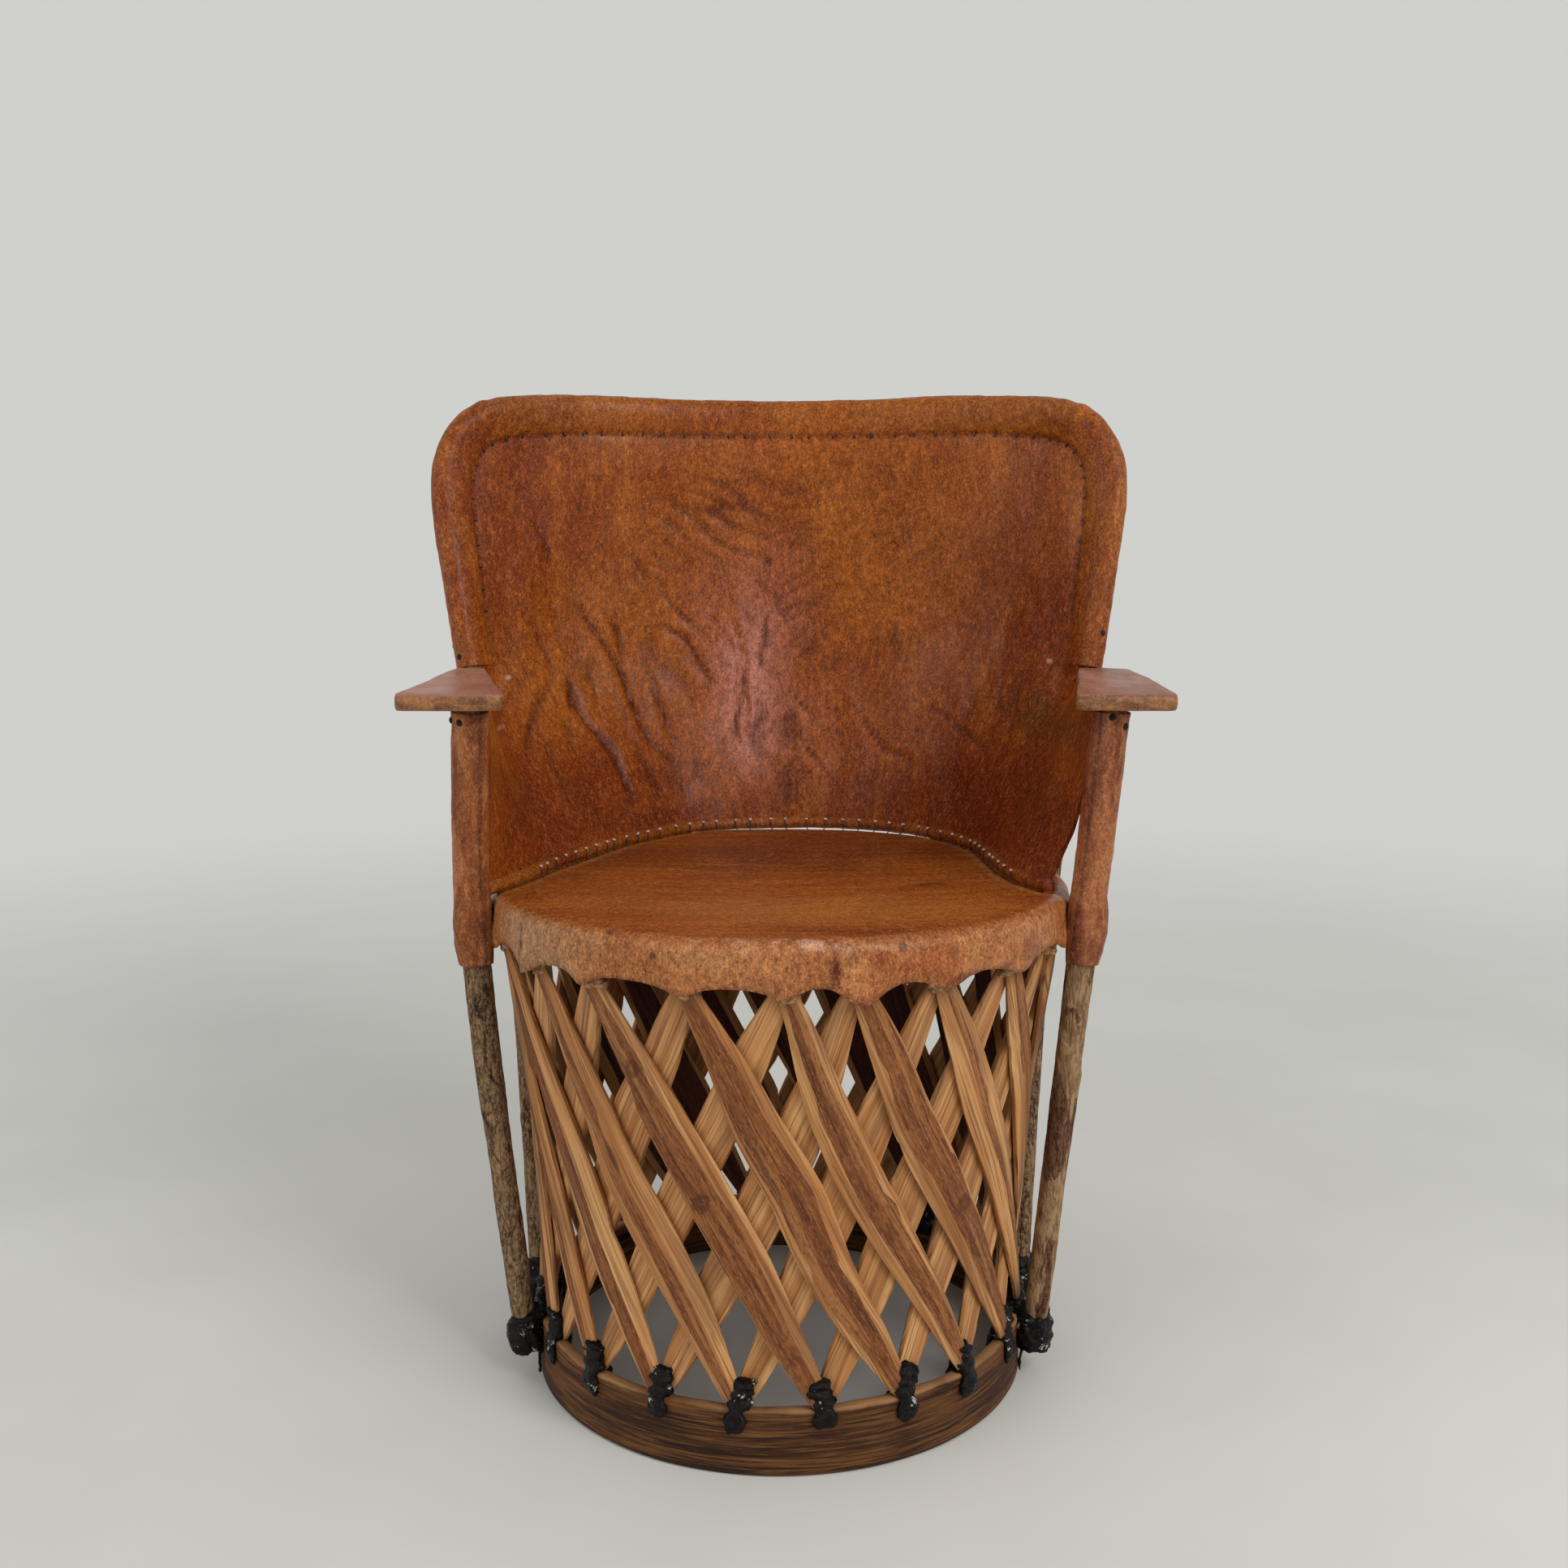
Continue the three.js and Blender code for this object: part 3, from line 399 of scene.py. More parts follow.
def barked_rod(name: str, centres: Table, radii: Table, seed: int, sides: int = 30) -> Piece:
    """A round stick with swellings, cut twigs and uneven bark.

    Args:
        name: the piece's name.
        centres: its middle line.
        radii: its radius at each centre.
        seed: which unevenness.
        sides: faces round it.

    Returns:
        The piece.
    """
    draw = np.random.default_rng(seed)
    travelled = travel(centres)
    angles = np.linspace(0, FULL_TURN, sides, endpoint=False)
    grid = np.stack(np.broadcast_arrays(
        np.cos(angles)[None] * 11, np.sin(angles)[None] * 11, travelled[:, None] * 0.5), -1)
    swell = Ripple(seed, 60)(grid) * 0.45 + Ripple(seed + 1, 15)(grid) * 0.25
    swell += Ripple(seed + 2, 6)(grid) * 0.14
    for _ in range(max(3, int(travelled[-1] / 110))):
        where, turn = draw.uniform(20, travelled[-1] - 20), draw.uniform(0, FULL_TURN)
        gap = (angles[None] - turn + math.pi) % FULL_TURN - math.pi
        away = np.hypot((travelled[:, None] - where) / 6.5, gap / 0.42)
        swell += 2.0 * bell(away, 1) - 1.0 * bell(away, 0.45)
    return rod(name, centres, np.asarray(radii)[:, None] + swell - 0.15, sides)


def join(name: str, pieces: Sequence[Piece]) -> Piece:
    """Joins pieces into the first and names it."""
    select(*pieces)
    bpy.ops.object.join()
    pieces[0].name = pieces[0].data.name = name
    return pieces[0]


def dress(piece: Piece, material: bpy.types.Material) -> None:
    """Gives a piece its only material."""
    piece.data.materials.clear()
    piece.data.materials.append(material)


def settle(piece: Piece, material: bpy.types.Material, slot: str, *nodes: str) -> None:
    """Gives a piece its finish and its body, and hides the CAD nodes that it stands for.

    Args:
        piece: the finished piece.
        material: its finish.
        slot: the material slot's name; not used.
        nodes: the CAD nodes that it replaces.
    """
    dress(piece, material)
    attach(piece, "root")
    if nodes:
        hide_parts(*nodes)
    log.info("%s: %d faces", piece.name, len(piece.data.polygons))


# ---- shader maths -----------------------------------------------------------------------


def paint(red: int, green: int, blue: int) -> tuple[float, float, float, float]:
    """A linear colour from the 0 to 255 values that it shows as."""
    shares = [value / 255 for value in (red, green, blue)]
    return (*(s / 12.92 if s <= 0.04045 else ((s + 0.055) / 1.055) ** 2.4 for s in shares), 1.0)


class Signal:
    """A value or colour that runs through a material's nodes."""

    def __init__(self, maker: "NodeMaker", socket: bpy.types.NodeSocket) -> None:
        """Wraps an output socket."""
        self.maker, self.socket = maker, socket

    def _math(self, operation: str, *values: object) -> "Signal":
        """A Math node on values."""
        return self.maker.make("Math", {"operation": operation}, dict(enumerate(values)))

    def __add__(self, other: object) -> "Signal":
        """Sum."""
        return self._math("ADD", self, other)

    def __sub__(self, other: object) -> "Signal":
        """Difference."""
        return self._math("SUBTRACT", self, other)

    def __mul__(self, other: object) -> "Signal":
        """Product."""
        return self._math("MULTIPLY", self, other)

    def __rsub__(self, other: object) -> "Signal":
        """Difference from a number."""
        return self._math("SUBTRACT", other, self)

    def __abs__(self) -> "Signal":
        """Size without sign."""
        return self._math("ABSOLUTE", self)

    def step(self, low: float, high: float, bottom: float = 0, top: float = 1) -> "Signal":
        """A smooth step from bottom to top as the value goes from low to high."""
        return self.maker.make("MapRange", {"interpolation_type": "SMOOTHSTEP"},
                               dict(enumerate((self, low, high, bottom, top))))


class NodeMaker:
    """Makes the nodes of one material.

    Textures take a place: a signal, or a scale or three of them for the object coordinates.
    """

    def __init__(self, name: str) -> None:
        """Starts an empty node tree."""
        self.material = bpy.data.materials.new(name)
        self.material.use_nodes = True
        self.tree = self.material.node_tree
        self.tree.nodes.clear()

    def make(self, kind: str, settings: Mapping[str, object] | None = None,
             inputs: Mapping[object, object] | None = None, output: int = 0) -> Signal:
        """Adds a node.

        Args:
            kind: the node's type.
            settings: its own settings.
            inputs: values or signals by socket name or number.
            output: which output socket the signal is.

        Returns:
            The signal.
        """
        node = self.tree.nodes.new("ShaderNode" + kind)
        for name, value in (settings or {}).items():
            setattr(node, name, value)
        for name, value in (inputs or {}).items():
            if isinstance(value, Signal):
                self.tree.links.new(value.socket, node.inputs[name])
            else:
                node.inputs[name].default_value = value
        return Signal(self, node.outputs[output])

    def vector(self, operation: str, *values: object, output: int = 0) -> Signal:
        """A Vector Math node on values."""
        return self.make("VectorMath", {"operation": operation}, dict(enumerate(values)), output)

    def place(self, scale: Triple = (1, 1, 1), turn: Triple = (0, 0, 0),
              centre: Triple = (0, 0, 0)) -> Signal:
        """Object coordinates about a centre, turned by degrees and scaled."""
        moved = self.vector("SUBTRACT", self.make("TexCoord", output=3), centre)
        return self.make("Mapping", inputs={
            "Vector": moved, "Rotation": [math.radians(a) for a in turn], "Scale": scale})

    def attribute(self, name: str) -> Signal:
        """A number kept on the mesh."""
        return self.make("Attribute", {"attribute_name": name}, output=2)

    def along(self, *scale: float) -> Signal:
        """The scaled place along and across a slat's grain, kept on the mesh."""
        return self.vector("MULTIPLY", self.make("Attribute", {"attribute_name": "grain"}, output=1), scale)

    def _texture(self, kind: str, where: Signal | Triple | float, settings: Mapping[str, object],
                 inputs: Mapping[object, object]) -> Signal:
        """A texture node at a place."""
        scale = 1.0 if isinstance(where, (Signal, tuple)) else where
        if not isinstance(where, Signal):
            where = self.place(where) if isinstance(where, tuple) else self.place()
        return self.make(kind, settings, {"Vector": where, "Scale": scale, **inputs})

    def noise(self, where: Signal | Triple | float, detail: float = 4.0, rough: float = 0.6,
              bend: float = 0.0) -> Signal:
        """Noise from 0 to 1."""
        return self._texture("TexNoise", where, {}, {
            "Detail": detail, "Roughness": rough, "Distortion": bend})

    def cells(self, where: Signal | Triple | float, feature: str = "F1") -> Signal:
        """Distance to the nearest cell centre or edge."""
        return self._texture("TexVoronoi", where, {"feature": feature}, {})

    def mix(self, share: object, first: Signal | Triple, second: Signal | Triple,
            blend: str = "MIX") -> Signal:
        """One colour over another by a share."""
        first, second = (paint(*c) if isinstance(c, tuple) else c for c in (first, second))
        return self.make("Mix", {"data_type": "RGBA", "blend_type": blend},
                         {0: share, 6: first, 7: second}, output=2)

    def coats(self, colour: Signal | Triple, *coats: tuple[object, Signal | Triple]) -> Signal:
        """A colour under coats, each laid on by its own share."""
        for share, tone in coats:
            colour = self.mix(share, colour, tone)
        return colour

    def bump(self, height: Signal, strength: float, distance: float) -> Signal:
        """A normal from a height."""
        return self.make("Bump", inputs={
            "Height": height, "Strength": strength, "Distance": distance})

    def done(self, colour: Signal, rough: Signal, normal: Signal, **others: float) -> bpy.types.Material:
        """Closes the material.

        Args:
            colour: base colour.
            rough: roughness.
            normal: the bumped normal.
            others: other sockets of the shader, with _ for a space.

        Returns:
            The material.
        """
        others = {name.replace("_", " "): value for name, value in others.items()}
        self.make_output(self.make("BsdfPrincipled", inputs={
            "Base Color": colour, "Roughness": rough, "Normal": normal, **others}))
        return self.material

    def make_output(self, shader: Signal) -> None:
        """Links a shader to the material's output."""
        node = self.tree.nodes.new("ShaderNodeOutputMaterial")
        self.tree.links.new(shader.socket, node.inputs["Surface"])


# ---- finishes ---------------------------------------------------------------------------


@dataclass(frozen=True)
class Leather:
    """Vegetable-tanned leather: clouded, streaked, speckled and shiny where it is worn."""

    name: str
    deep: Triple
    middle: Triple
    light: Triple
    streaks: Triple = (14, 14, 14)
    streak_turn: Triple = (0, 0, 0)
    rough: float = 0.42
    grain: float = 0.25
    speckle: float = 0.6
    streaky: float = 1.0
    fleck: Triple = (188, 120, 62)
    gloss: float = 0.2
    wax: float = 0.04

    def colour(self, maker: NodeMaker) -> Signal:
        """The leather's own colour before stains."""
        cloud = maker.noise(5.5, 4, 0.62, 0.4)
        streak = maker.noise(maker.place(self.streaks, self.streak_turn), 5, 0.6, 0.3)
        return maker.coats(
            self.deep, (cloud.step(0.36, 0.64), self.middle),
            (streak.step(0.45, 0.75) * (0.7 * self.streaky), self.light),
            ((1 - streak).step(0.5, 0.75) * (0.5 * self.streaky), self.deep))

    def grained(self, maker: NodeMaker, colour: Signal) -> Signal:
        """A colour with the grain's pale and dark flecks over it."""
        fleck = maker.noise((210, 210, 120), 4, 0.8, 0.4)
        pores = maker.noise((620, 620, 420), 3, 0.8, 0.3)
        pale = (fleck.step(0.52, 0.66) + pores.step(0.52, 0.66)) * (0.26 * self.speckle)
        grit = (fleck - 0.5) * (2.4 * self.speckle) + (pores - 0.5) * (3.0 * self.speckle) + 1
        flecked = maker.mix(pale, colour, self.fleck)
        return maker.mix(1.0, flecked, grit.step(0.15, 1.7, 0.25, 1.6), "MULTIPLY")

    @staticmethod
    def stained(maker: NodeMaker, colour: Signal, drift: Signal,
                stains: Sequence[tuple[Triple, Triple, Sequence[object], Triple]]) -> Signal:
        """Lays soft-edged stains over a colour.

        Args:
            maker: the material's node maker.
            colour: the colour under them.
            drift: a noise that makes their edges uneven.
            stains: each one's middle and half sizes in metres, with a zero size for a direction
                that is left out, then the factors of its strength, and its tone.

        Returns:
            The stained colour.
        """
        for centre, size, factors, tone in stains:
            at = maker.place([1 / value if value else 0.0 for value in size], centre=centre)
            reach = maker.vector("LENGTH", at, output=1)
            strength = (reach + (drift - 0.5) * 1.1).step(1.0, 0.1)
            for factor in factors:
                strength = strength * factor
            colour = maker.mix(strength, colour, tone)
        return colour

    def finished(self, maker: NodeMaker, colour: Signal, height: Signal | None = None,
                 duller: Signal | None = None) -> bpy.types.Material:
        """Adds the grain, the shine and the pebbled surface.

        Args:
            maker: the material's node maker.
            colour: the colour under the grain.
            height: unevenness of its own.
            duller: roughness that is added to that of worn patches.

        Returns:
            The material.
        """
        pebbles = maker.noise(380, 3, 0.7) * self.grain + maker.noise(38, 3) * 0.9
        pebbles = pebbles + maker.noise(130, 3, 0.6) * (self.grain * 1.2)
        rough = maker.noise(16, 4, 0.7).step(0.3, 0.7, self.rough - 0.09, self.rough + 0.13)
        normal = maker.bump(pebbles + height if height else pebbles, 0.5, 0.0011)
        return maker.done(self.grained(maker, colour), rough + duller if duller else rough, normal,
                          Specular_IOR_Level=self.gloss, Coat_Weight=self.wax, Coat_Roughness=0.28)


@dataclass(frozen=True)
class BackLeather(Leather):
    """The back's leather, with the tones that the photograph shows at each place."""

    def material(self) -> bpy.types.Material:
        """Leather with a painted rosy sheen in the middle, dark lower corners (the right one partly painted
        shade), creases darkened by painted shade, and an old stain.
        """
        maker = NodeMaker(self.name)
        drift = maker.noise(7, 4, 0.65)
        sheen_and_stain_noise = maker.noise((30, 12, 10), 5, 0.7, 0.8)
        even = sheen_and_stain_noise.step(0.0, 0.1)
        bristle = maker.noise((160, 20, 22), 3, 0.6).step(0.38, 0.62)
        stains = [((x, 0.0, z), (wide, 0.0, high), factors, tone)
                  for (x, z, wide, high), *factors, tone in (
            ((0.1, 0.72, 0.16, 0.16), even, 0.4, (158, 86, 10)),
            ((-0.2, 0.64, 0.13, 0.14), even, 0.5, (160, 88, 26)),
            # Painted sheen: the next three patches lay a rosy, pale highlight over the middle.
            ((-0.03, 0.61, 0.11, 0.24), sheen_and_stain_noise.step(0.26, 0.56), 0.9, (170, 98, 72)),
            ((-0.035, 0.59, 0.055, 0.14), sheen_and_stain_noise.step(0.38, 0.62), 0.8, (206, 140, 122)),
            ((0.05, 0.55, 0.1, 0.11), sheen_and_stain_noise.step(0.38, 0.68), 0.6, (176, 106, 80)),
            ((0.24, 0.68, 0.06, 0.14), even, 0.5, (108, 42, 8)),
            # Dark lower right corner: its own dark tone, deepened with painted shade.
            ((0.215, 0.485, 0.13, 0.12), even, 0.85, (96, 26, 4)),
            ((0.11, 0.6, 0.04, 0.06), sheen_and_stain_noise.step(0.3, 0.6), 0.5, (104, 40, 14)),
            ((-0.2, 0.485, 0.1, 0.08), even, 0.75, (104, 32, 4)),
            ((-0.12, 0.46, 0.09, 0.02), even, 0.7, (86, 20, 4)),
            ((0.012, 0.487, 0.02, 0.04), bristle, 0.85, (58, 22, 12)),
            ((0.031, 0.5, 0.0045, 0.0045), even, 0.8, (58, 22, 12)),
            ((0.245, 0.575, 0.035, 0.035), sheen_and_stain_noise.step(0.3, 0.5), 0.7, (84, 50, 16)),
            ((-0.262, 0.609, 0.0035, 0.003), even, 0.65, (212, 170, 140)),
            ((-0.262, 0.566, 0.004, 0.003), even, 0.5, (196, 142, 110)),
            ((0.263, 0.624, 0.003, 0.003), even, 0.6, (212, 170, 140)))]
        dirt = maker.noise(120, 3, 0.7).step(0.42, 0.62)
        return self.finished(maker, maker.coats(
            self.stained(maker, self.colour(maker), drift, stains),
            # Painted shade: the creases are darkened in the colour as well as dented.
            (maker.attribute("crease") * 0.8, (74, 22, 8)),
            (maker.attribute("seam") * (dirt * 0.5 + 0.25), (84, 32, 8)),
            (maker.attribute("rim") * drift.step(0.35, 0.6) * 0.5, (148, 86, 30))))


@dataclass(frozen=True)
class SeatLeather(Leather):
    """The seat's leather: polished top with streaks across, paler speckled skirt."""

    def skirt_colour(self, maker: NodeMaker, drift: Signal) -> Signal:
        """The skirt's blotched, speckled colour."""
        rosy = maker.noise((16, 16, 34), 5, 0.65, 0.8).step(0.5, 0.66)
        worn = maker.noise((20, 20, 20), 4, 0.7).step(0.56, 0.7)
        pale = maker.coats((156, 90, 46), (drift.step(0.3, 0.65), (174, 112, 64)),
                           (rosy * 0.7, (136, 66, 38)), (worn * 0.5, (180, 128, 78)))
        return self.stained(maker, pale, drift, (
            ((-0.2, -0.2, 0.42), (0.075, 0.14, 0.06), (0.75,), (158, 118, 80)),
            ((-0.06, -0.27, 0.428), (0.05, 0.1, 0.012), (0.6,), (178, 126, 76)),
            ((-0.01, -0.27, 0.412), (0.05, 0.1, 0.012), (0.6,), (140, 74, 52)),
            ((0.11, -0.27, 0.42), (0.05, 0.1, 0.02), (0.6,), (150, 76, 34)),
            ((0.041, -0.27, 0.422), (0.008, 0.1, 0.024), (0.9,), (92, 28, 14)),
            ((0.2, -0.22, 0.414), (0.02, 0.1, 0.02), (0.8,), (104, 34, 18)),
            ((0.145, -0.25, 0.404), (0.03, 0.1, 0.012), (0.8,), (112, 44, 24)),
            ((-0.13, -0.25, 0.4), (0.03, 0.1, 0.01), (0.7,), (120, 58, 34)),
            ((0.075, -0.27, 0.428), (0.012, 0.1, 0.008), (0.7,), (116, 40, 20))))

    def material(self) -> bpy.types.Material:
        """Leather that changes tone over its rim, with a painted highlight on the front of the rim."""
        maker = NodeMaker(self.name)
        skirt = maker.attribute("skirt")
        drift = maker.noise(11, 4, 0.65)
        top = self.stained(maker, self.colour(maker), drift, (
            ((0.0, 0.1, 0.0), (0.26, 0.1, 0.0), (0.7,), (98, 40, 6)),
            ((0.03, -0.15, 0.0), (0.22, 0.09, 0.0), (0.75,), (176, 106, 42)),
            ((-0.15, -0.08, 0.0), (0.07, 0.12, 0.0), (0.4,), (168, 100, 44)),
            ((0.13, -0.05, 0.0), (0.02, 0.012, 0.0), (0.8,), (78, 26, 8))))
        spots = (1 - maker.cells(26)).step(0.86, 0.93) * maker.noise(9, 2).step(0.5, 0.62)
        rubbed_and_glint = maker.noise(70, 4, 0.7)
        colour = maker.coats(
            top, (skirt, self.skirt_colour(maker, drift)), (spots * 0.85, (74, 26, 16)),
            (maker.attribute("edge") * 0.6, (108, 56, 28)),
            (maker.attribute("lip") * rubbed_and_glint.step(0.3, 0.56) * 0.7, (158, 112, 60)),
            # Painted shade in the dip along the back's hem.
            (maker.attribute("shaded_hollow") * 0.85, (40, 16, 8)),
            (maker.attribute("lap") * 0.8, (84, 44, 22)),
            # Painted highlight: a pale glint on the front of the rim.
            (maker.attribute("gloss") * rubbed_and_glint.step(0.42, 0.6) * 0.75, (214, 160, 132)))
        return self.finished(maker, colour, duller=skirt * 0.06)


@dataclass(frozen=True)
class SleeveLeather(Leather):
    """The sleeves' leather, blotched lengthwise, with a dark overlapping edge."""

    def material(self) -> bpy.types.Material:
        """Leather with long blotches and a dark lap."""
        maker = NodeMaker(self.name)
        blotch = maker.noise((44, 44, 16), 5, 0.7, 0.8)
        return self.finished(maker, maker.coats(
            self.colour(maker), (blotch.step(0.52, 0.64) * 0.6, (98, 42, 26)),
            ((1 - blotch).step(0.5, 0.62) * 0.6, (172, 112, 68)),
            (maker.attribute("lap") * 0.75, (54, 24, 13))), blotch * 1.5)


@dataclass(frozen=True)
class ArmLeather(Leather):
    """The arms' leather, worn to tan along its edges."""

    def material(self) -> bpy.types.Material:
        """Leather with tan scuffed edges."""
        maker = NodeMaker(self.name)
        edge = maker.attribute("edge")
        scuff = maker.noise((40, 40, 90), 5, 0.75, 0.5)
        worn = maker.mix(scuff.step(0.36, 0.64), (96, 52, 22), (154, 102, 54))
        return self.finished(maker, maker.mix(edge, self.colour(maker), worn), scuff * edge * 1.5)


@dataclass(frozen=True)
class SplitWood:
    """Split slats: pale fibrous wood with bark left on one face."""

    name: str
    # The bark's deep, middle, warm, dark and light tones
    bark: tuple[Triple, ...] = ((106, 54, 24), (146, 88, 44), (130, 70, 34), (70, 34, 15), (186, 128, 76))

    def material(self) -> bpy.types.Material:
        """Long fibres along the slat, and a bark band where the mesh says so."""
        maker = NodeMaker(self.name)
        fibre = maker.noise(maker.along(9, 520, 31), 5, 0.65, 0.2)
        band = maker.noise(maker.along(3, 95, 17), 3, 0.55, 0.4)
        cloud = maker.noise(13, 3, 0.6)
        grey = maker.noise(maker.along(5, 60, 53), 4, 0.65, 0.5)
        mottle = maker.noise(maker.along(34, 210, 23), 4, 0.68, 0.5)
        flecks = maker.noise(maker.along(150, 700, 19), 4, 0.75, 0.4)
        ragged = maker.noise(maker.along(60, 300, 11), 3, 0.6)
        knots = maker.cells(maker.along(6, 26, 13))
        rare = maker.noise(maker.along(1.7, 0, 41), 1).step(0.5, 0.58)
        scar = maker.attribute("scar")
        wood = maker.coats(
            (170, 112, 62), (band.step(0.36, 0.62), (214, 160, 102)),
            (cloud.step(0.42, 0.68) * 0.45, (186, 118, 62)), (grey.step(0.5, 0.64) * 0.6, (142, 98, 62)),
            ((1 - fibre).step(0.49, 0.64) * 0.75, (122, 74, 40)),
            (fibre.step(0.56, 0.74) * 0.55, (232, 188, 134)))
        deep, middle, warm, dark, light = self.bark
        bark = maker.coats(
            deep, (mottle.step(0.36, 0.58), middle), (cloud.step(0.4, 0.66) * 0.5, warm),
            (band.step(0.46, 0.58) * 0.5, light), ((1 - grey).step(0.5, 0.62) * 0.5, dark),
            ((1 - fibre).step(0.51, 0.64) * 0.75, dark), (fibre.step(0.56, 0.7) * 0.55, light),
            (flecks.step(0.54, 0.66) * 0.5, light), ((1 - flecks).step(0.53, 0.64) * 0.6, dark))
        mask = (maker.attribute("bark") + (ragged - 0.5) * 0.16).step(0.86, 0.92)
        ring = (1 - abs(scar - 0.45)).step(0.62, 0.9)
        colour = maker.coats(
            wood, (mask, bark), ((1 - knots).step(0.86, 0.9) * rare, (74, 38, 22)),
            (ring * 0.6, (72, 34, 18)),
            (scar.step(0.72, 0.9), (96, 44, 20)), (maker.attribute("tip") * 0.55, (104, 62, 34)))
        height = fibre * 0.8 + mask * mottle * 1.3 + mask * 0.8 + ring * 0.8 - scar.step(0.7, 0.95) * 1.5
        return maker.done(colour, fibre.step(0.3, 0.7, 0.5, 0.72), maker.bump(height, 0.55, 0.0009),
                          Specular_IOR_Level=0.25)


@dataclass(frozen=True)
class BentWood:
    """Hoop wood: dark, grain running round, paler along the upper edge."""

    name: str
    top: float

    def material(self) -> bpy.types.Material:
        """Weathered brown wood with long level fibres."""
        maker = NodeMaker(self.name)
        fibre = maker.noise((16, 16, 620), 6, 0.7, 0.15)
        band = maker.noise((7, 7, 120), 4, 0.6, 0.3)
        cloud = maker.noise(9, 4, 0.65)
        height = maker.make("SeparateXYZ", inputs={0: maker.place()}, output=2)
        worn = (height + (cloud - 0.5) * 0.012).step(self.top - 0.004, self.top - 0.0005)
        foot = (height + (cloud - 0.5) * 0.014).step(0.006, 0.0)
        colour = maker.coats(
            (52, 28, 14), (band.step(0.38, 0.58), (108, 68, 34)),
            (cloud.step(0.42, 0.66) * 0.5, (80, 42, 20)),
            ((1 - fibre).step(0.5, 0.6) * 0.85, (28, 16, 10)), (fibre.step(0.53, 0.66) * 0.6, (144, 98, 56)),
            (worn * 0.75, (178, 132, 88)), (foot * 0.5, (52, 38, 30)))
        return maker.done(colour, fibre.step(0.3, 0.7, 0.55, 0.8), maker.bump(fibre + band, 0.6, 0.0012),
                          Specular_IOR_Level=0.2)


@dataclass(frozen=True)
class Bark:
    """Round sticks with thin flaking bark."""

    name: str
    flayed: bool = False

    def material(self) -> bpy.types.Material:
        """Mottled grey-brown bark, or bare wood with dark red scraps of bark where it is flayed."""
        maker = NodeMaker(self.name)
        flakes = maker.noise((150, 150, 60), 6, 0.78, 0.6)
        specks = maker.noise((420, 420, 240), 4, 0.75, 0.4)
        patch = maker.noise((32, 32, 9), 4, 0.6, 0.5)
        cracks = maker.cells((150, 150, 26), "DISTANCE_TO_EDGE")
        scraps = maker.noise((52, 52, 11), 4, 0.62, 0.5)
        bare = scraps.step(0.46, 0.5) if self.flayed else scraps.step(0.66, 0.7)
        wood = maker.mix(flakes.step(0.4, 0.6), (124, 92, 62), (176, 142, 104))
        colour = maker.coats(
            (66, 44, 30), (flakes.step(0.4, 0.58), (146, 114, 80)),
            (patch.step(0.5, 0.66) * 0.6, (170, 136, 98)),
            ((1 - patch).step(0.54, 0.68) * 0.6, (70, 44, 28)),
            (specks.step(0.52, 0.62) * 0.6, (176, 150, 118)),
            ((1 - specks).step(0.52, 0.62) * 0.7, (44, 28, 20)), *[(0.55, (84, 34, 20))] * self.flayed,
            (bare, wood), (cracks.step(0.05, 0.0) * (1 - bare) * 0.5, (34, 22, 15)))
        height = flakes * 1.2 + specks * 0.6 + cracks.step(0.0, 0.08) * 0.6 - bare * 1.0
        return maker.done(colour, flakes.step(0.3, 0.7, 0.7, 0.9), maker.bump(height, 0.8, 0.0016),
                          Specular_IOR_Level=0.2)


@dataclass(frozen=True)
class Thong:
    """Hide thong: hard, a little shiny, scuffed along its ridges; on dark thong the pale marks are also
    painted glints.
    """

    name: str
    dark: Triple
    middle: Triple
    scuff: Triple
    scuff_and_glint_level: float = 0.62
    rough: float = 0.34

    def material(self) -> bpy.types.Material:
        """Wrinkled hide with worn spots, which on dark thong also stand as painted glints."""
        maker = NodeMaker(self.name)
        creases = maker.noise((240, 240, 420), 4, 0.6, 0.5)
        worn = maker.noise(72, 4, 0.7, 0.4)
        scuffs_and_glints = worn.step(self.scuff_and_glint_level, self.scuff_and_glint_level + 0.05)
        colour = maker.coats(self.dark, (creases.step(0.4, 0.62), self.middle), (scuffs_and_glints * 0.9, self.scuff))
        rough = creases.step(0.3, 0.7, self.rough, self.rough + 0.22) + scuffs_and_glints * 0.25
        return maker.done(colour, rough, maker.bump(creases + worn * 1.5, 0.7, 0.0013),
                          Specular_IOR_Level=0.14)


@dataclass(frozen=True)
class Thread:
    """Waxed thread."""

    name: str
    dark: Triple
    light: Triple

    def material(self) -> bpy.types.Material:
        """Twisted thread with uneven wax."""
        maker = NodeMaker(self.name)
        twist = maker.noise((900, 900, 900), 2)
        return maker.done(maker.mix(twist.step(0.35, 0.65), self.dark, self.light),
                          twist.step(0.3, 0.7, 0.45, 0.7), maker.bump(twist, 0.4, 0.0004))


# ---- sub-assemblies ---------------------------------------------------------------------


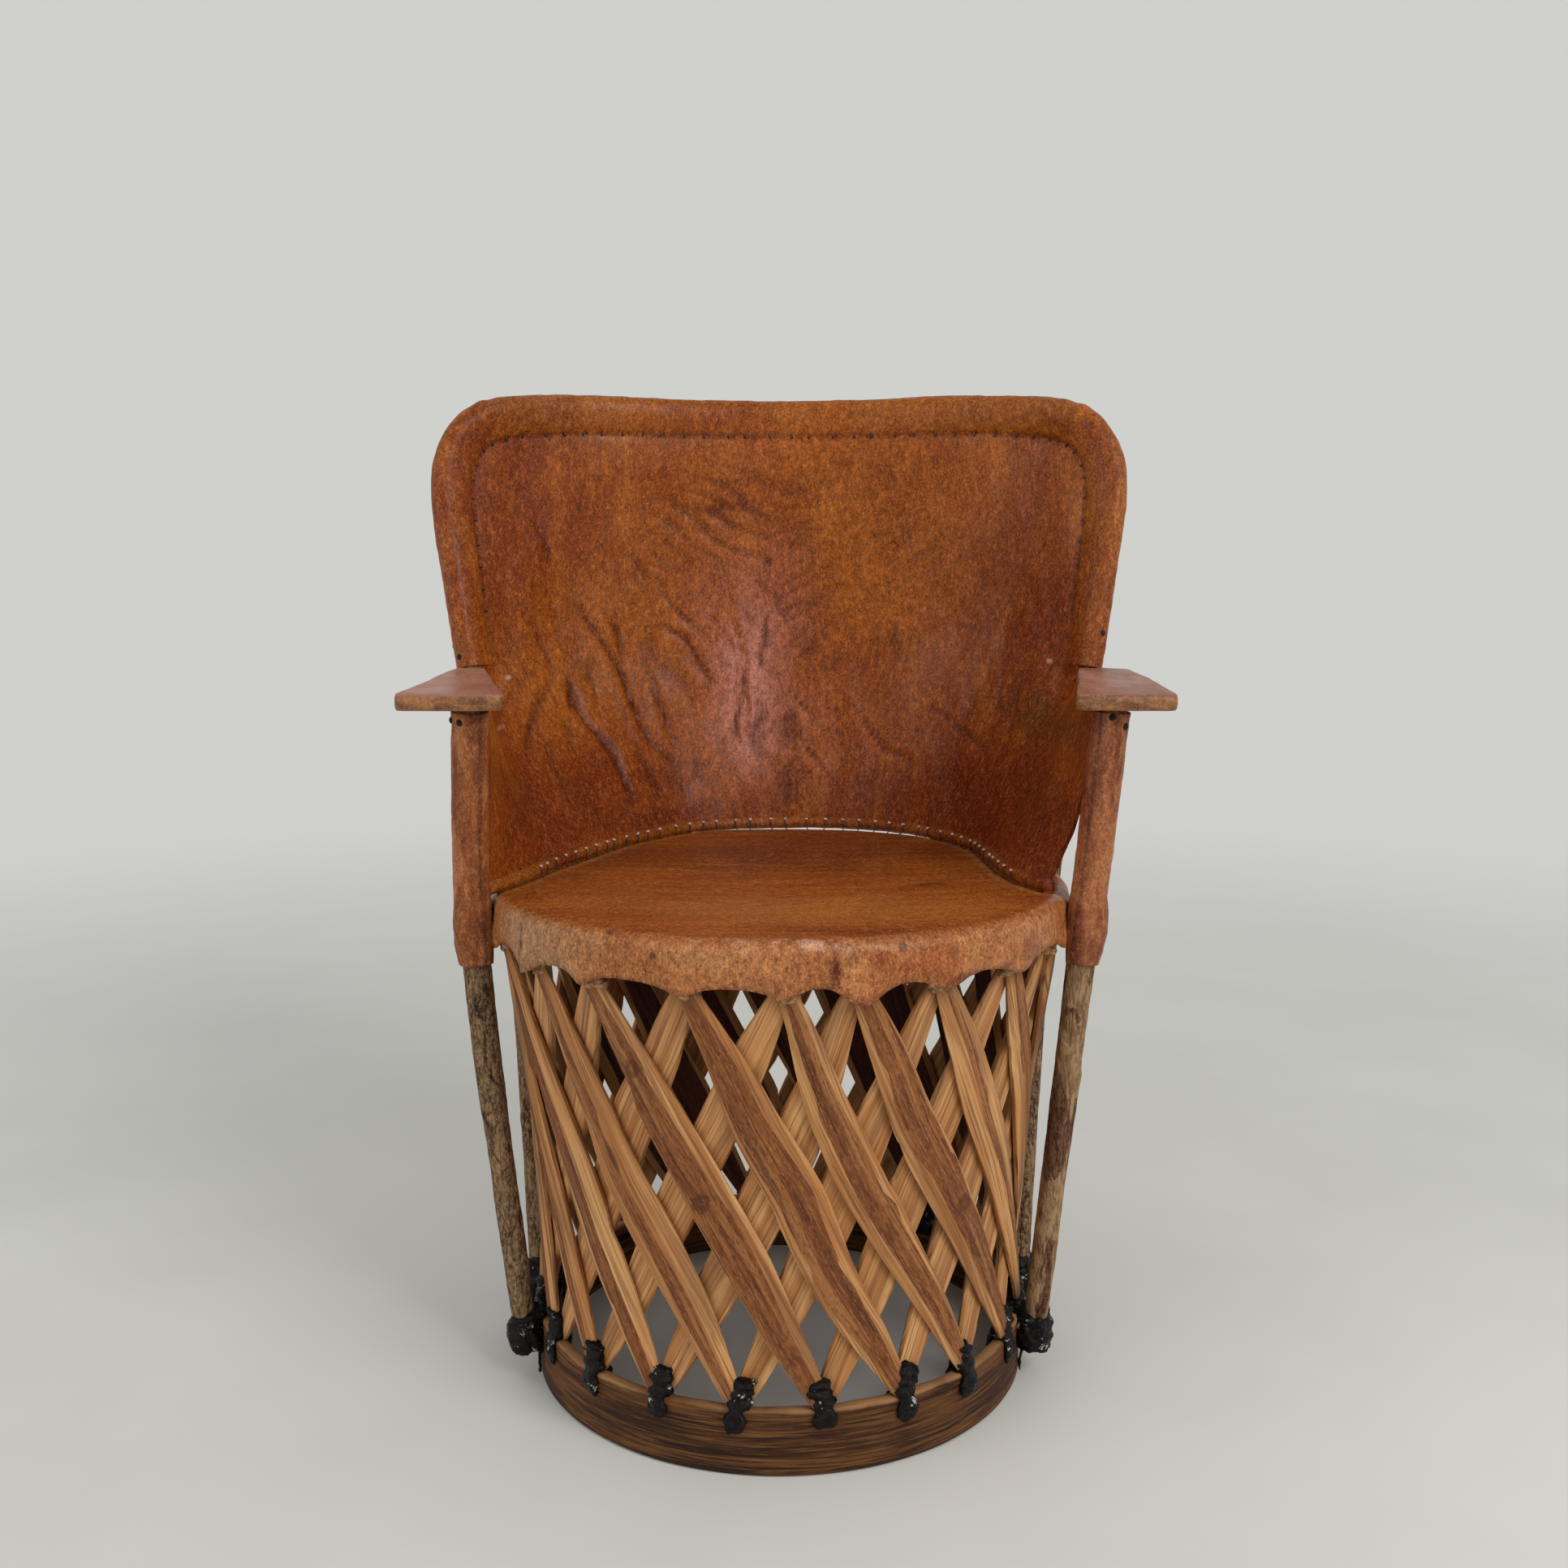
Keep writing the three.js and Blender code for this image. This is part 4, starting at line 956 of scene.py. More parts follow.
@dataclass
class Drum:
    """Two hoops, forty slats and the thongs that lash them."""

    knots: int = 20
    turn: float = 45.0
    base_radius: float = 220.0
    base_height: float = 56.0
    hoop_thickness: float = 11.0
    seat_hoop_radius: float = 248.5
    seat_hoop_bottom: float = 404.7
    slat_top: float = 404.4
    slat_foot: float = 56.3
    slat_length: float = 390.0
    width: float = 41.0
    tip_width: float = 14.0
    thickness: float = 8.5
    tip_thickness: float = 5.5
    layer_gap: float = 1.2
    bow: float = 4.0
    stations: int = 72
    # Bark band of the front slats: half widths on the lower and the upper side, as shares
    bark_cuts: dict = field(default_factory=lambda: {
        18: (0.95, 0.5), 19: (0.76, 0.52), 0: (0.46, 0.6), 1: (0.5, 0.86), 2: (0.16, 0.3),
        17: (0.52, 0.2), 16: (0.5, 0.3), 15: (0.2, 0.3), 3: (0.4, 0.5),
    })
    # Knots in the bark of the front slats: share of the length, and across from -1 to 1
    bark_knots: dict = field(default_factory=lambda: {
        18: [(0.2, 0.1), (0.5, 0.3)], 1: [(0.58, -0.3)],
    })
    # How far each upper knot is tied from its even place, in degrees
    upper_shifts: tuple = (
        0.7, -4, -5.6, -5.2, -2.6, 0, 0.9, -0.7, 0.5, -1, 0.3, 0.8, -0.6, 0.4, -0.8, 0.9, 1.2, 1.4, -0.7, 1.1,
    )
    # The floor hoop's section: out from the inner face and up from the floor, as shares
    hoop_section: tuple = (
        (1, 0.03), (1, 0.1), (1, 0.3), (1, 0.5), (1, 0.7), (1, 0.9), (1, 0.97), (0.85, 1), (0.5, 1),
        (0.15, 1), (0, 0.97), (0, 0.9), (0, 0.5), (0, 0.1), (0, 0.03), (0.15, 0), (0.5, 0), (0.85, 0),
    )
    # Lumps at the poles' feet: azimuth, distance and seed
    feet: dict = field(default_factory=lambda: {
        "post_strap_left": (-76, 233, 31), "post_strap_right": (76, 233, 33),
        "rear_leg_strap_left": (-101.4, 233.5, 37), "rear_leg_strap_right": (101.4, 233.5, 41),
    })

    def shift(self, azimuth: Table) -> Table:
        """How far the lattice's top is turned at an azimuth, in degrees."""
        place = np.asarray(azimuth, float) * self.knots / 360
        knot = np.floor(place).astype(int)
        first = np.take(self.upper_shifts, knot % self.knots)
        second = np.take(self.upper_shifts, (knot + 1) % self.knots)
        return first + (second - first) * smooth(place - knot, 0, 1)

    @staticmethod
    def _hewn(draw: np.random.Generator, share: Table, size: float, cuts: int) -> Table:
        """Unevenness from straight cuts along a slat."""
        stops = np.sort(np.concatenate([[0, 1], draw.uniform(0.08, 0.92, cuts)]))
        return np.interp(share, stops, draw.uniform(-1, 1, cuts + 2) * size)

    def _slat_line(self, layer: Layer) -> tuple[Table, Table, Table, Table]:
        """Stations along a slat: share, middle, outward and along directions."""
        half = self.hoop_thickness / 2
        start = cylindrical(0, self.seat_hoop_radius - half, self.slat_top)
        end = cylindrical(layer.sign * self.turn, self.base_radius - half, self.slat_foot)
        share = np.linspace(0, 1, self.stations + 1)
        along = unit(end - start)
        centre = start + (end - start) * share[:, None]
        radial = unit(centre * np.array([1, 1, 0]))
        outward = -along[2] * radial
        outward[:, 2] = radial @ along
        outward = unit(outward)
        return share, centre + outward * (self.bow * np.sin(math.pi * share))[:, None], outward, along

    def slat_table(self, layer: Layer, index: int) -> tuple[Table, dict]:
        """The points of one slat.

        Args:
            layer: outer or inner.
            index: which knot its top is tied to.

        Returns:
            The table, and the grain, bark, tip and scar values at each point.
        """
        seed = index + (100 if layer is Layer.INNER else 0)
        draw = np.random.default_rng(seed + 7)
        share, centre, outward, along = self._slat_line(layer)
        across = np.cross(np.broadcast_to(along, outward.shape), outward)
        swell = np.sin(math.pi * share) ** 0.8
        full = self.width * (1 + 0.07 * handmade(index))
        half = (self.tip_width + (full - self.tip_width) * swell) / 2
        depth = self.tip_thickness + (self.thickness - self.tip_thickness) * swell
        crook = swell * self.width * 0.05 * np.interp(
            share, np.linspace(0, 1, 7), [handmade(index * 6 + k) for k in range(7)])
        lower, upper = ((1 + self._hewn(draw, share, 0.1, 6)) * half for _ in range(2))
        low_cut, high_cut = self.bark_cuts.get(index, tuple(draw.uniform(0.35, 0.85, 2)))
        if layer is Layer.INNER:
            low_cut, high_cut = draw.uniform(0.5, 0.9, 2)
        low, high = (np.clip(cut + self._hewn(draw, share, 0.14, 7), 0.06, 0.96)
                     for cut in (low_cut, high_cut))
        crown = 1.0 + 0.05 * self._hewn(draw, share, 1.0, 9)
        rows, grains, barks = [], [], []
        # Places round the section: across from -1 to 1, outward from 0 to 1, and bark
        for wide, rise, bark in (
            (-1, 0.45, 0), (-high - 0.05 * (1 - high), 0.95, 0.8), (-high + 0.04, 1, 1),
            (-high * 0.5, 1.02 * crown, 1), ((low - high) / 2, 1.04 * crown, 1), (low * 0.5, 1.02 * crown, 1),
            (low - 0.04, 1, 1), (low + 0.05 * (1 - low), 0.95, 0.8), (1, 0.45, 0), (0.985, 0.3, 0),
            (0.93, 0.04, 0), (0.88, 0, 0), (0, 0, 0), (-0.88, 0, 0), (-0.93, 0.04, 0), (-0.985, 0.3, 0),
        ):
            reach = np.where(np.less(wide, 0), wide * upper, wide * lower)
            lift = layer.sign * (self.layer_gap / 2 + rise * depth)
            rows.append(centre + across * (reach + crook)[:, None] + outward * lift[:, None])
            grains.append(np.stack(np.broadcast_arrays(share * 0.38, reach * 0.001, seed * 0.37), -1))
            barks.append(np.full(len(share), float(bark)))
        table, grain, bark = np.stack(rows, 1), np.stack(grains, 1), np.stack(barks, 1)
        for end_row, level in ((0, self.slat_top), (-1, self.slat_foot)):
            table[end_row] += along * ((level - table[end_row, :, 2]) / along[2])[:, None]
        even = index * 360 / self.knots
        azimuth = even + np.degrees(np.arctan2(centre[:, 0], -centre[:, 1]))
        table = spun(table, (even + self.shift(azimuth) * (1 - share))[:, None])
        scars = np.zeros(bark.shape)
        for place, side in self.bark_knots.get(index, ()) if layer is Layer.OUTER else ():
            away = np.hypot((share[:, None] - place) * self.slat_length, grain[..., 1] * 1000 - side * 20)
            scars = np.maximum(scars, bell(away, 5.5))
        table, grain, bark, scars = (self._closed(values) for values in (table, grain, bark, scars))
        edge = np.concatenate([[0], share, [1]])
        tip = 1 - smooth(np.minimum(edge, 1 - edge), 0.01, 0.07)
        tips = np.repeat(tip[:, None], table.shape[1], 1)
        return table, {"grain": grain, "bark": bark, "tip": tips, "scar": scars}

    @staticmethod
    def _closed(values: Table) -> Table:
        """Closes a slat's ends on their middles and its section on its first point."""
        ends = [np.broadcast_to(values[k].mean(0), values[k].shape)[None] for k in (0, -1)]
        values = np.concatenate([ends[0], values, ends[1]])
        return np.concatenate([values, values[:, :1]], axis=1)

    def slats(self) -> None:
        """Models all slats: the inner ones have dark red bark, deepened with painted shade for the drum's
        shaded inside.
        """
        # The inner layer's bark tones are their own red, darkened further as painted shade.
        red = ((58, 22, 16), (92, 42, 28), (76, 30, 20), (34, 14, 10), (120, 66, 44))
        finishes = {Layer.OUTER: (SplitWood("outer_slat_wood").material(), "slat_bark"),
                    Layer.INNER: (SplitWood("inner_slat_wood", red).material(), "split_wood")}
        for layer in Layer:
            for index in range(self.knots):
                node = f"{layer.value}_slat_{index + 1:02d}"
                settle(surface(f"{node}_split", *self.slat_table(layer, index), angle=28),
                       *finishes[layer], node)

    def base_hoop(self) -> None:
        """Models the floor hoop: a bent strip with hewn edges."""
        ripple = Ripple(3, 0.9, size=2)
        angle = np.linspace(0, FULL_TURN, 301)
        turn = np.stack([np.cos(angle), np.sin(angle)], -1) * 2.4
        rows = []
        for index, (out, up) in enumerate(self.hoop_section):
            wobble = Ripple(20 + index // 3, 1.1, size=2)(turn) * 0.35
            height = up * (self.base_height - (0.9 * ripple(turn) + 1.0) * (up > 0.8))
            radius = self.base_radius - self.hoop_thickness * (1 - out) + wobble * (out == 1)
            rows.append(around(angle, radius, height))
        table = np.stack(rows + rows[:1], 1)
        table[-1] = table[0]
        settle(surface("base_hoop_bent_strip", table, angle=50),
               BentWood("hoop_wood", self.base_height * 0.001).material(), "hoop_wood", "base_hoop")

    def knot(self, seed: int, azimuth: float, edge: float, inner: float, outer: float,
             height: float, side: int) -> Piece:
        """One lashing: turns of thong round two slat tips and a blob over the hoop's edge.

        Args:
            seed: which unevenness.
            azimuth: where it is, in degrees.
            edge: level of the hoop's lashed edge.
            inner: radius of the hoop's inner face.
            outer: radius of its outer face.
            height: how far the turns reach from the edge.
            side: 1 above the hoop and -1 below it.

        Returns:
            The lump, unfinished.
        """
        draw = np.random.default_rng(seed)
        middle, deep = (inner + outer) / 2, (outer - inner) / 2
        steps = np.linspace(0, draw.uniform(1.6, 2.6) * FULL_TURN, 50)
        climb = (steps / steps[-1]) * (height - 6) + 3
        wide = draw.uniform(8.2, 10.2) + 1.0 * np.sin(steps * 0.7 + seed)
        lean = draw.uniform(-0.3, 0.3)
        line = np.stack([wide * np.cos(steps) - lean * climb, -(middle + (deep + 0.9) * np.sin(steps)),
                         edge + side * climb + 1.8 * np.sin(steps + seed)], -1)
        core = np.array([[-lean * h, -middle, edge + side * h] for h in np.linspace(0.5, height - 3, 8)])
        parts = [rod("turns", line, 2.3 + 0.5 * np.sin(steps * 1.3 + seed), 8),
                 rod("core", core, np.linspace(10.0, 8.4, 8), across=FORWARD, flat=0.8)]
        for face, sign in ((outer, 1), (inner, -1)):
            drop = (19 if sign > 0 else 15) * (height / 24) + draw.uniform(-4, 5)
            drift = draw.uniform(-3.4, 3.4)
            out = face + sign * 1.6
            band = curve([[0, -(middle + sign * 2), edge + side * 9],
                          [0, -(out - sign * 1.4), edge + side * 4],
                          [drift * 0.3, -(out + sign * 0.2), edge - side * 3],
                          [drift * 0.7, -(out + sign * 0.9), edge - side * drop * 0.6],
                          [drift, -(out - sign * 0.8), edge - side * drop]], 22)
            blob, pinch = draw.uniform(8.8, 11.6), draw.uniform(6.4, 8.8)
            width = np.interp(np.linspace(0, 1, 22), [0, 0.25, 0.42, 0.66, 0.88, 1],
                              [7.4, 8.4, pinch, blob, blob * 0.8, 4.0])
            parts.append(rod("blob", band, width, 14, across=FORWARD, flat=draw.uniform(0.36, 0.48)))
            for _ in range(2):
                bud = np.array([drift + draw.uniform(-6, 6), -(out + sign * 0.6),
                                edge - side * drop * draw.uniform(0.1, 0.9)])
                spread = np.array([draw.uniform(-3, 3), 0, draw.uniform(2, 5)])
                parts.append(rod("bud", np.array([bud - spread, bud, bud + spread]), [2.2, 3.4, 2.0], 8))
        return self._lump("lump", parts, 0.0015, seed, azimuth)

    @staticmethod
    def _lump(name: str, parts: Sequence[Piece], grain: float, seed: int, azimuth: float) -> Piece:
        """Melts parts into one uneven lump and turns it to its place round the drum."""
        lump = join(name, parts)
        finish_with(lump, "REMESH", mode="VOXEL", voxel_size=grain)
        mesh = lump.data
        points = (triples(mesh.vertices, "co") - [0, AXIS_DEPTH, 0]) * 1000
        push = 1.0 * Ripple(seed, 12)(points) + 0.45 * Ripple(seed + 50, 5)(points)
        points = spun(points + triples(mesh.vertices, "normal") * push[:, None], azimuth)
        mesh.vertices.foreach_set("co", row_frame(points).astype(np.float32).ravel())
        mesh.update()
        select(lump)
        bpy.ops.object.shade_smooth()
        return lump

    def runner(self, name: str, radius: float, level: float, first: float) -> Piece:
        """The thong's run inside a hoop, pulled nearly straight from knot to knot."""
        share = np.linspace(0, self.knots, self.knots * 9 + 1)
        angle = np.radians((share + first) * 360 / self.knots)
        half = math.pi / self.knots
        straight = math.cos(half) / np.cos((share % 1 - 0.5) * 2 * half)
        sag = -0.9 * np.sin(math.pi * (share % 1))
        table = np.stack([around(angle, radius * straight - 1.3 + 1.2 * math.cos(side),
                                 level + sag + 2.6 * math.sin(side))
                          for side in np.linspace(0, FULL_TURN, 9)], 1)
        table[-1] = table[0]
        return surface(name, table)

    def lashings(self) -> None:
        """Models both hoops' lashings, and the lumps that tie the poles' feet."""
        # The black thong's near-white marks are partly scuffs and partly painted glints.
        black = Thong("black_thong", (7, 6, 6), (26, 22, 20), (196, 190, 180), 0.625, 0.2)
        hide = Thong("rawhide", (128, 92, 58), (186, 142, 98), (214, 186, 150), 0.6)
        step = 360 / self.knots
        inner, edge = self.base_radius - self.hoop_thickness, self.base_height
        lumps = [self.knot(40 + k, (k + 0.5) * step, edge, inner, self.base_radius, 24, 1)
                 for k in range(self.knots)]
        lumps.append(self.runner("base_runner", inner - 0.6, edge - 12, 0.5))
        settle(join("base_lashing_thong", lumps), black.material(), "black_thong", "base_lashing")
        inner, edge = self.seat_hoop_radius - self.hoop_thickness, self.seat_hoop_bottom
        lumps = [self.knot(80 + k, k * step + float(self.shift(k * step)), edge, inner,
                           self.seat_hoop_radius - 2.4, 12, -1) for k in range(self.knots)]
        lumps.append(self.runner("seat_runner", inner - 2.2, edge + 12, 0))
        settle(join("seat_lashing_rawhide", lumps), hide.material(), "rawhide", "seat_lashing")
        black_feet = black.material()
        for node, place in self.feet.items():
            settle(self.foot_knot(node, *place), black_feet, "black_thong", node)

    def foot_knot(self, node: str, azimuth: float, radius: float, seed: int) -> Piece:
        """The lump that ties a pole's foot to the floor hoop: turns, core, band and loose tail.

        Args:
            node: the CAD node that it stands for.
            azimuth: where it is, in degrees.
            radius: the pole's distance from the drum's axis.
            seed: which unevenness.

        Returns:
            The lump, unfinished.
        """
        draw = np.random.default_rng(seed)
        parts = []
        for start, turns, reach in ((26, 2.3, 14.5), (44, 2.2, 14.0), (33, 2.6, 15.6)):
            steps = np.linspace(0, turns * FULL_TURN, 46)
            tilt = draw.uniform(-0.35, 0.35)
            y = (reach - 1.5) * np.sin(steps) - 3.0 * (np.sin(steps) < 0)
            line = np.stack([(reach - 0.8) * np.cos(steps), -(radius + y),
                             start + 14 * steps / steps[-1] + tilt * y], -1)
            parts.append(rod("turns", line, np.full(46, 3.6), 8))
        core = np.array([[0, -(radius - 1.5), z] for z in np.linspace(27, 64, 9)])
        parts.append(rod("core", core, [9, 12.6, 13.4, 13.6, 13.4, 13.4, 13, 11.5, 9], 14))
        band = curve([[0, -(radius - 8), 62], [0, -(radius - 14), 63], [0, -206.0, 54],
                      [0, -205.4, 40], [0, -207, 28]], 18)
        parts.append(rod("band", band, np.full(18, 9.0), 14, across=FORWARD, flat=0.3))
        lean = math.copysign(9, -azimuth)
        tail = curve([[lean * 0.3, -(radius - 9), 34], [lean * 0.7, -223.2, 26], [lean, -222.6, 15],
                      [lean * 1.1, -222.4, 5]], 12)
        parts.append(rod("tail", tail, np.linspace(4.2, 3.0, 12), 10, across=FORWARD, flat=0.45))
        return self._lump(f"{node}_knot", parts, 0.0018, seed, azimuth)

    def build(self) -> None:
        """Models and dresses the drum."""
        self.base_hoop()
        dress(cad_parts["seat_hoop"], BentWood("seat_hoop_wood", 0.5).material())
        self.slats()
        self.lashings()


@dataclass
class Seat:
    """Leather drawn over the upper hoop, with a skirt that clings to the knots."""

    height: float = 440.0
    sag: float = 6.0
    radius: float = 252.1
    lobe_radius: float = 254.9
    rounding: float = 9.0
    skirt: float = 33.0
    lobe_drop: float = 12.0
    thickness: float = 3.0
    lap_seam: float = 305.0
    spans: int = 440
    # Rows on the top, round the edge and down the skirt, as shares of each
    top_rows: Table = field(default_factory=lambda: np.concatenate(
        [[0], np.linspace(0.04, 0.72, 20)[:-1], np.linspace(0.72, 0.955, 30)]))
    turn_rows: Table = field(default_factory=lambda: np.linspace(0, 1, 12)[1:])
    drop_rows: Table = field(default_factory=lambda: np.linspace(0, 1, 17)[1:])

    def lobes(self, drum: Drum, even: Table) -> Table:
        """How far the hem falls at even azimuths, from 0 between the knots to 1 over them."""
        step = 360 / drum.knots
        draw = np.random.default_rng(12)
        nearest = np.rint(even / step).astype(int) % drum.knots
        size = draw.uniform(0.55, 1.15, drum.knots)[nearest]
        wide = draw.uniform(2.7, 4.3, drum.knots)[nearest]
        offset = (even + step / 2) % step - step / 2
        return size * np.exp(-np.abs(offset / wide) ** 1.7)

    def profile(self, angle: Table, lobe: Table) -> tuple[Table, Table, float]:
        """The leather's section all round, before it is made uneven.

        Args:
            angle: azimuths in radians.
            lobe: how far the hem falls at each.

        Returns:
            Distance from the axis and height, and the radius where the top's edge begins.
        """
        ring = np.stack([np.cos(angle), np.sin(angle)], -1)[:, 0] * 2.2
        hem_wave = Ripple(5, 1.0, size=2)(ring)[:, None]
        flat_end = self.radius - self.rounding
        r_top = self.top_rows[None] * flat_end / 0.955
        z_top = self.height - self.sag * (1 - smooth(r_top, 20, flat_end - 4))
        bend = self.turn_rows[None] * math.pi / 2
        r_turn = flat_end + self.rounding * np.sin(bend)
        z_turn = self.height - self.rounding * (1 - np.cos(bend))
        hem = self.height - self.skirt - self.lobe_drop * lobe + 1.6 * hem_wave
        start = self.height - self.rounding
        z_drop = start + (hem - start) * self.drop_rows[None]
        cling = smooth(self.drop_rows[None], 0.05, 0.75)
        tuck = smooth(self.drop_rows[None], 0.7, 1.0)
        r_drop = self.radius + (self.lobe_radius - self.radius) * lobe * cling * 1.1
        r_drop = r_drop - tuck * (1.9 * (1 - lobe)) + 0.5 * hem_wave * cling
        radius = np.concatenate([r_top + 0 * angle, r_turn + 0 * angle, r_drop], 1)
        return radius, np.concatenate([z_top + 0 * angle, z_turn + 0 * angle, z_drop], 1), flat_end

    def table(self, drum: Drum, laced: Path) -> tuple[Table, dict]:
        """The outer face of the leather.

        Args:
            drum: the drum, whose upper knots the lobes lie over.
            laced: the back's hem, along which the seat is laced and rubbed.

        Returns:
            Columns round the drum with rows from the middle to the hem, and their values.
        """
        even = np.linspace(0, 360, self.spans + 1)[:, None]
        angle = np.radians(even + drum.shift(even))
        radius, height, flat_end = self.profile(angle, self.lobes(drum, even))
        table = around(angle, radius, height)
        wobble = Ripple(8, 120)(table) * 0.8 + Ripple(9, 34)(table) * 0.28
        face = smooth(radius, flat_end - 8, self.radius)
        table[..., 2] += wobble * (1 - face)
        push = (Ripple(10, 26)(table) * 0.55 + Ripple(11, 11)(table) * 0.25) * face
        lap = (even - self.lap_seam) % 360
        push = push + 1.3 * smooth(lap, 0, 0.9) * (1 - smooth(lap, 3, 30)) * face
        table[..., 0] += push * np.sin(angle)
        table[..., 1] -= push * np.cos(angle)
        table[-1] = table[0]
        count, tops = table.shape[1], len(self.top_rows)
        rows = np.arange(count)[None] + 0 * angle
        skirt = smooth(rows, tops - 1, tops + len(self.turn_rows) - 3)
        samples = laced.by_length(np.linspace(0, 1, 160))[:, :2]
        gap = np.stack([np.linalg.norm(table[:, row, None, :2] - samples[None], axis=-1).min(1)
                        for row in range(count)], 1)
        outer = smooth(radius, 120, 160)
        # A dip along the back's hem, which the seat's colour also darkens as painted shade.
        shaded_hollow = bell(gap - 7.5, 2.6) * outer
        table[..., 2] -= 1.6 * shaded_hollow * (1 - face)
        return table, {
            "skirt": skirt, "edge": smooth(rows, count - 4, count - 1),
            "lip": bell(gap - 14.5, 4.0) * outer, "shaded_hollow": shaded_hollow,
            "lap": bell((even - self.lap_seam + 0.4 + 180) % 360 - 180, 0.45) * skirt,
            # gloss: where the painted highlight lies on the front of the rim
            "gloss": bell((even + 176) % 360 - 180, 14) * bell(rows - tops - 4, 4.5)}

    def build(self, drum: Drum, laced: Path) -> None:
        """Models and dresses the seat over the drum's upper knots, up to the back's hem."""
        piece = surface("seat_leather_drawn", *self.table(drum, laced), closed=False)
        edit(piece, weld)
        finish_with(piece, "SOLIDIFY", thickness=self.thickness * 0.001, offset=-1.0, use_even_offset=True)
        shade(piece, 50)
        leather = SeatLeather("seat_leather", (120, 52, 8), (150, 76, 16), (178, 100, 38), (7, 90, 10),
                              rough=0.36, streaky=0.8, speckle=0.75, fleck=(194, 138, 92))
        settle(piece, leather.material(), "seat_leather", "seat_leather")


@dataclass
class Front:
    """Front posts in their sleeves, and the arms."""

    foot_azimuth: float = 76.0
    seat_azimuth: float = 73.0
    foot_distance: float = 230.3
    seat_distance: float = 270.23
    tie_level: float = 412.0
    top_depth: float = -93.0
    top_spread: dict = field(default_factory=lambda: {Side.LEFT: 254.0, Side.RIGHT: 274.0})
    post_start: float = 34.0
    sleeve_start: float = 383.0
    post_end: float = 0.972
    nail_level: float = 591.0
    arm_front: float = 614.0
    arm_rise: float = 7.0
    arm_from: float = -130.0
    arm_to: float = 108.0
    arm_middle: float = 276.0
    arm_thickness: float = 13.0
    sleeve_gap: float = 0.3
    sleeve_thickness: float = 2.2
    # How close a sleeve may come to the drum's axis beside the seat
    seat_clearance: float = 255.6
    swollen: dict = field(default_factory=lambda: {Side.LEFT: 2.0, Side.RIGHT: 3.4})
    # Each sleeve's nails: azimuth on the post in radians, and how far below nail_level
    nail_places: dict = field(default_factory=lambda: {
        Side.LEFT: ((-1.15, 0), (-0.4, 1.5)), Side.RIGHT: ((0.72, 5), (-0.1, -3))})
    # Each arm's corners: out from the middle in mm, and back as a share of its length
    outlines: dict = field(default_factory=lambda: {
        Side.LEFT: [(219, 0), (309, 0), (307, 0.7), (303, 1), (279, 1)],
        Side.RIGHT: [(236, 0), (319, 0), (328, 0.55), (326, 0.93), (300, 1), (283, 1)],
    })
    # An arm's section: size of the outline as a share, and level from -1 to 1
    arm_section: tuple = (
        (0.0, 1), (0.3, 1), (0.6, 1), (0.85, 1), (0.9, 1), (0.93, 0.96), (0.958, 0.84), (0.982, 0.6),
        (0.996, 0.32), (1, 0), (0.996, -0.32), (0.982, -0.6), (0.958, -0.84), (0.93, -0.96), (0.9, -1),
        (0.7, -1), (0.35, -1), (0, -1),
    )

    def arm_top(self, depth: Table) -> Table:
        """Level of the arms' tops at a depth."""
        return self.arm_front + self.arm_rise * (depth - self.arm_from) / (self.arm_to - self.arm_from)

    def post_path(self, side: Side) -> Path:
        """Middle line of a post."""
        return Path([
            cylindrical(side.sign * self.foot_azimuth, self.foot_distance, 5),
            cylindrical(side.sign * self.seat_azimuth, self.seat_distance, self.tie_level),
            [side.sign * self.top_spread[side], self.top_depth, float(self.arm_top(self.top_depth))],
        ])

    @staticmethod
    def post_radius(share: Table) -> Table:
        """Radius of a post at shares of its length."""
        return np.interp(share, [0, 0.67, 1], [10.0, 12.5, 13.0])

    def post(self, side: Side, bark: bpy.types.Material) -> None:
        """Models a barked post."""
        path = self.post_path(side)
        share = np.linspace(path.share_at_height(self.post_start), self.post_end, 150)
        piece = barked_rod(f"front_post_{side.value}_barked", path.by_length(share),
                           self.post_radius(share), 60 + side.sign)
        settle(piece, bark, "barked_pole", f"front_post_{side.value}")

    def sleeve(self, side: Side, leather: bpy.types.Material) -> None:
        """Models a post's leather sleeve."""
        path = self.post_path(side)
        share = np.linspace(path.share_at_height(self.sleeve_start), self.post_end, 120)
        centres = path.by_length(share)
        sides = 36
        angles = np.linspace(0, FULL_TURN, sides, endpoint=False)
        height = centres[:, 2]
        lump = self.swollen[side] * np.clip(1 - ((height - self.tie_level) / 30) ** 2, 0, 1)
        base = self.post_radius(share) + self.sleeve_gap + self.sleeve_thickness + lump
        grid = np.stack(np.broadcast_arrays(
            np.cos(angles)[None] * 14, np.sin(angles)[None] * 14, height[:, None]), -1)
        wrinkled = smooth(height, 560, 596) + 0.7 * bell(height - self.tie_level, 26)
        crumple = Ripple(70 + side.sign, 22)(grid) * 0.5 + Ripple(72 + side.sign, 9)(grid) * 0.25
        crumple += Ripple(74, 60)(grid) * 0.6
        radii = base[:, None] + crumple * (0.45 + 0.8 * wrinkled[:, None])
        table = tube_table(centres, radii, sides)[3:-3]
        outward = unit(table - centres[:, None])
        turn = np.arctan2(outward[..., 1], -side.sign * outward[..., 0]) + 0.85
        lap = 1.5 * smooth(turn, -0.1, 0.05) * (1 - smooth(turn, 0.05, 1.3))
        table = table + outward * lap[..., None]
        reach = np.hypot(table[..., 0], table[..., 1])
        inside = (table[..., 2] < 441) & (reach < self.seat_clearance)
        push = np.where(inside, self.seat_clearance / np.maximum(reach, 1), 1)
        table[..., :2] *= push[..., None]
        piece = surface(f"post_sleeve_{side.value}_leather", table, {"lap": bell(turn + 0.06, 0.1)},
                        closed=False)
        edit(piece, weld, face_outwards)
        finish_with(piece, "SOLIDIFY", thickness=self.sleeve_thickness * 0.001, offset=-1.0)
        settle(piece, leather, "trim_leather", f"post_sleeve_{side.value}")

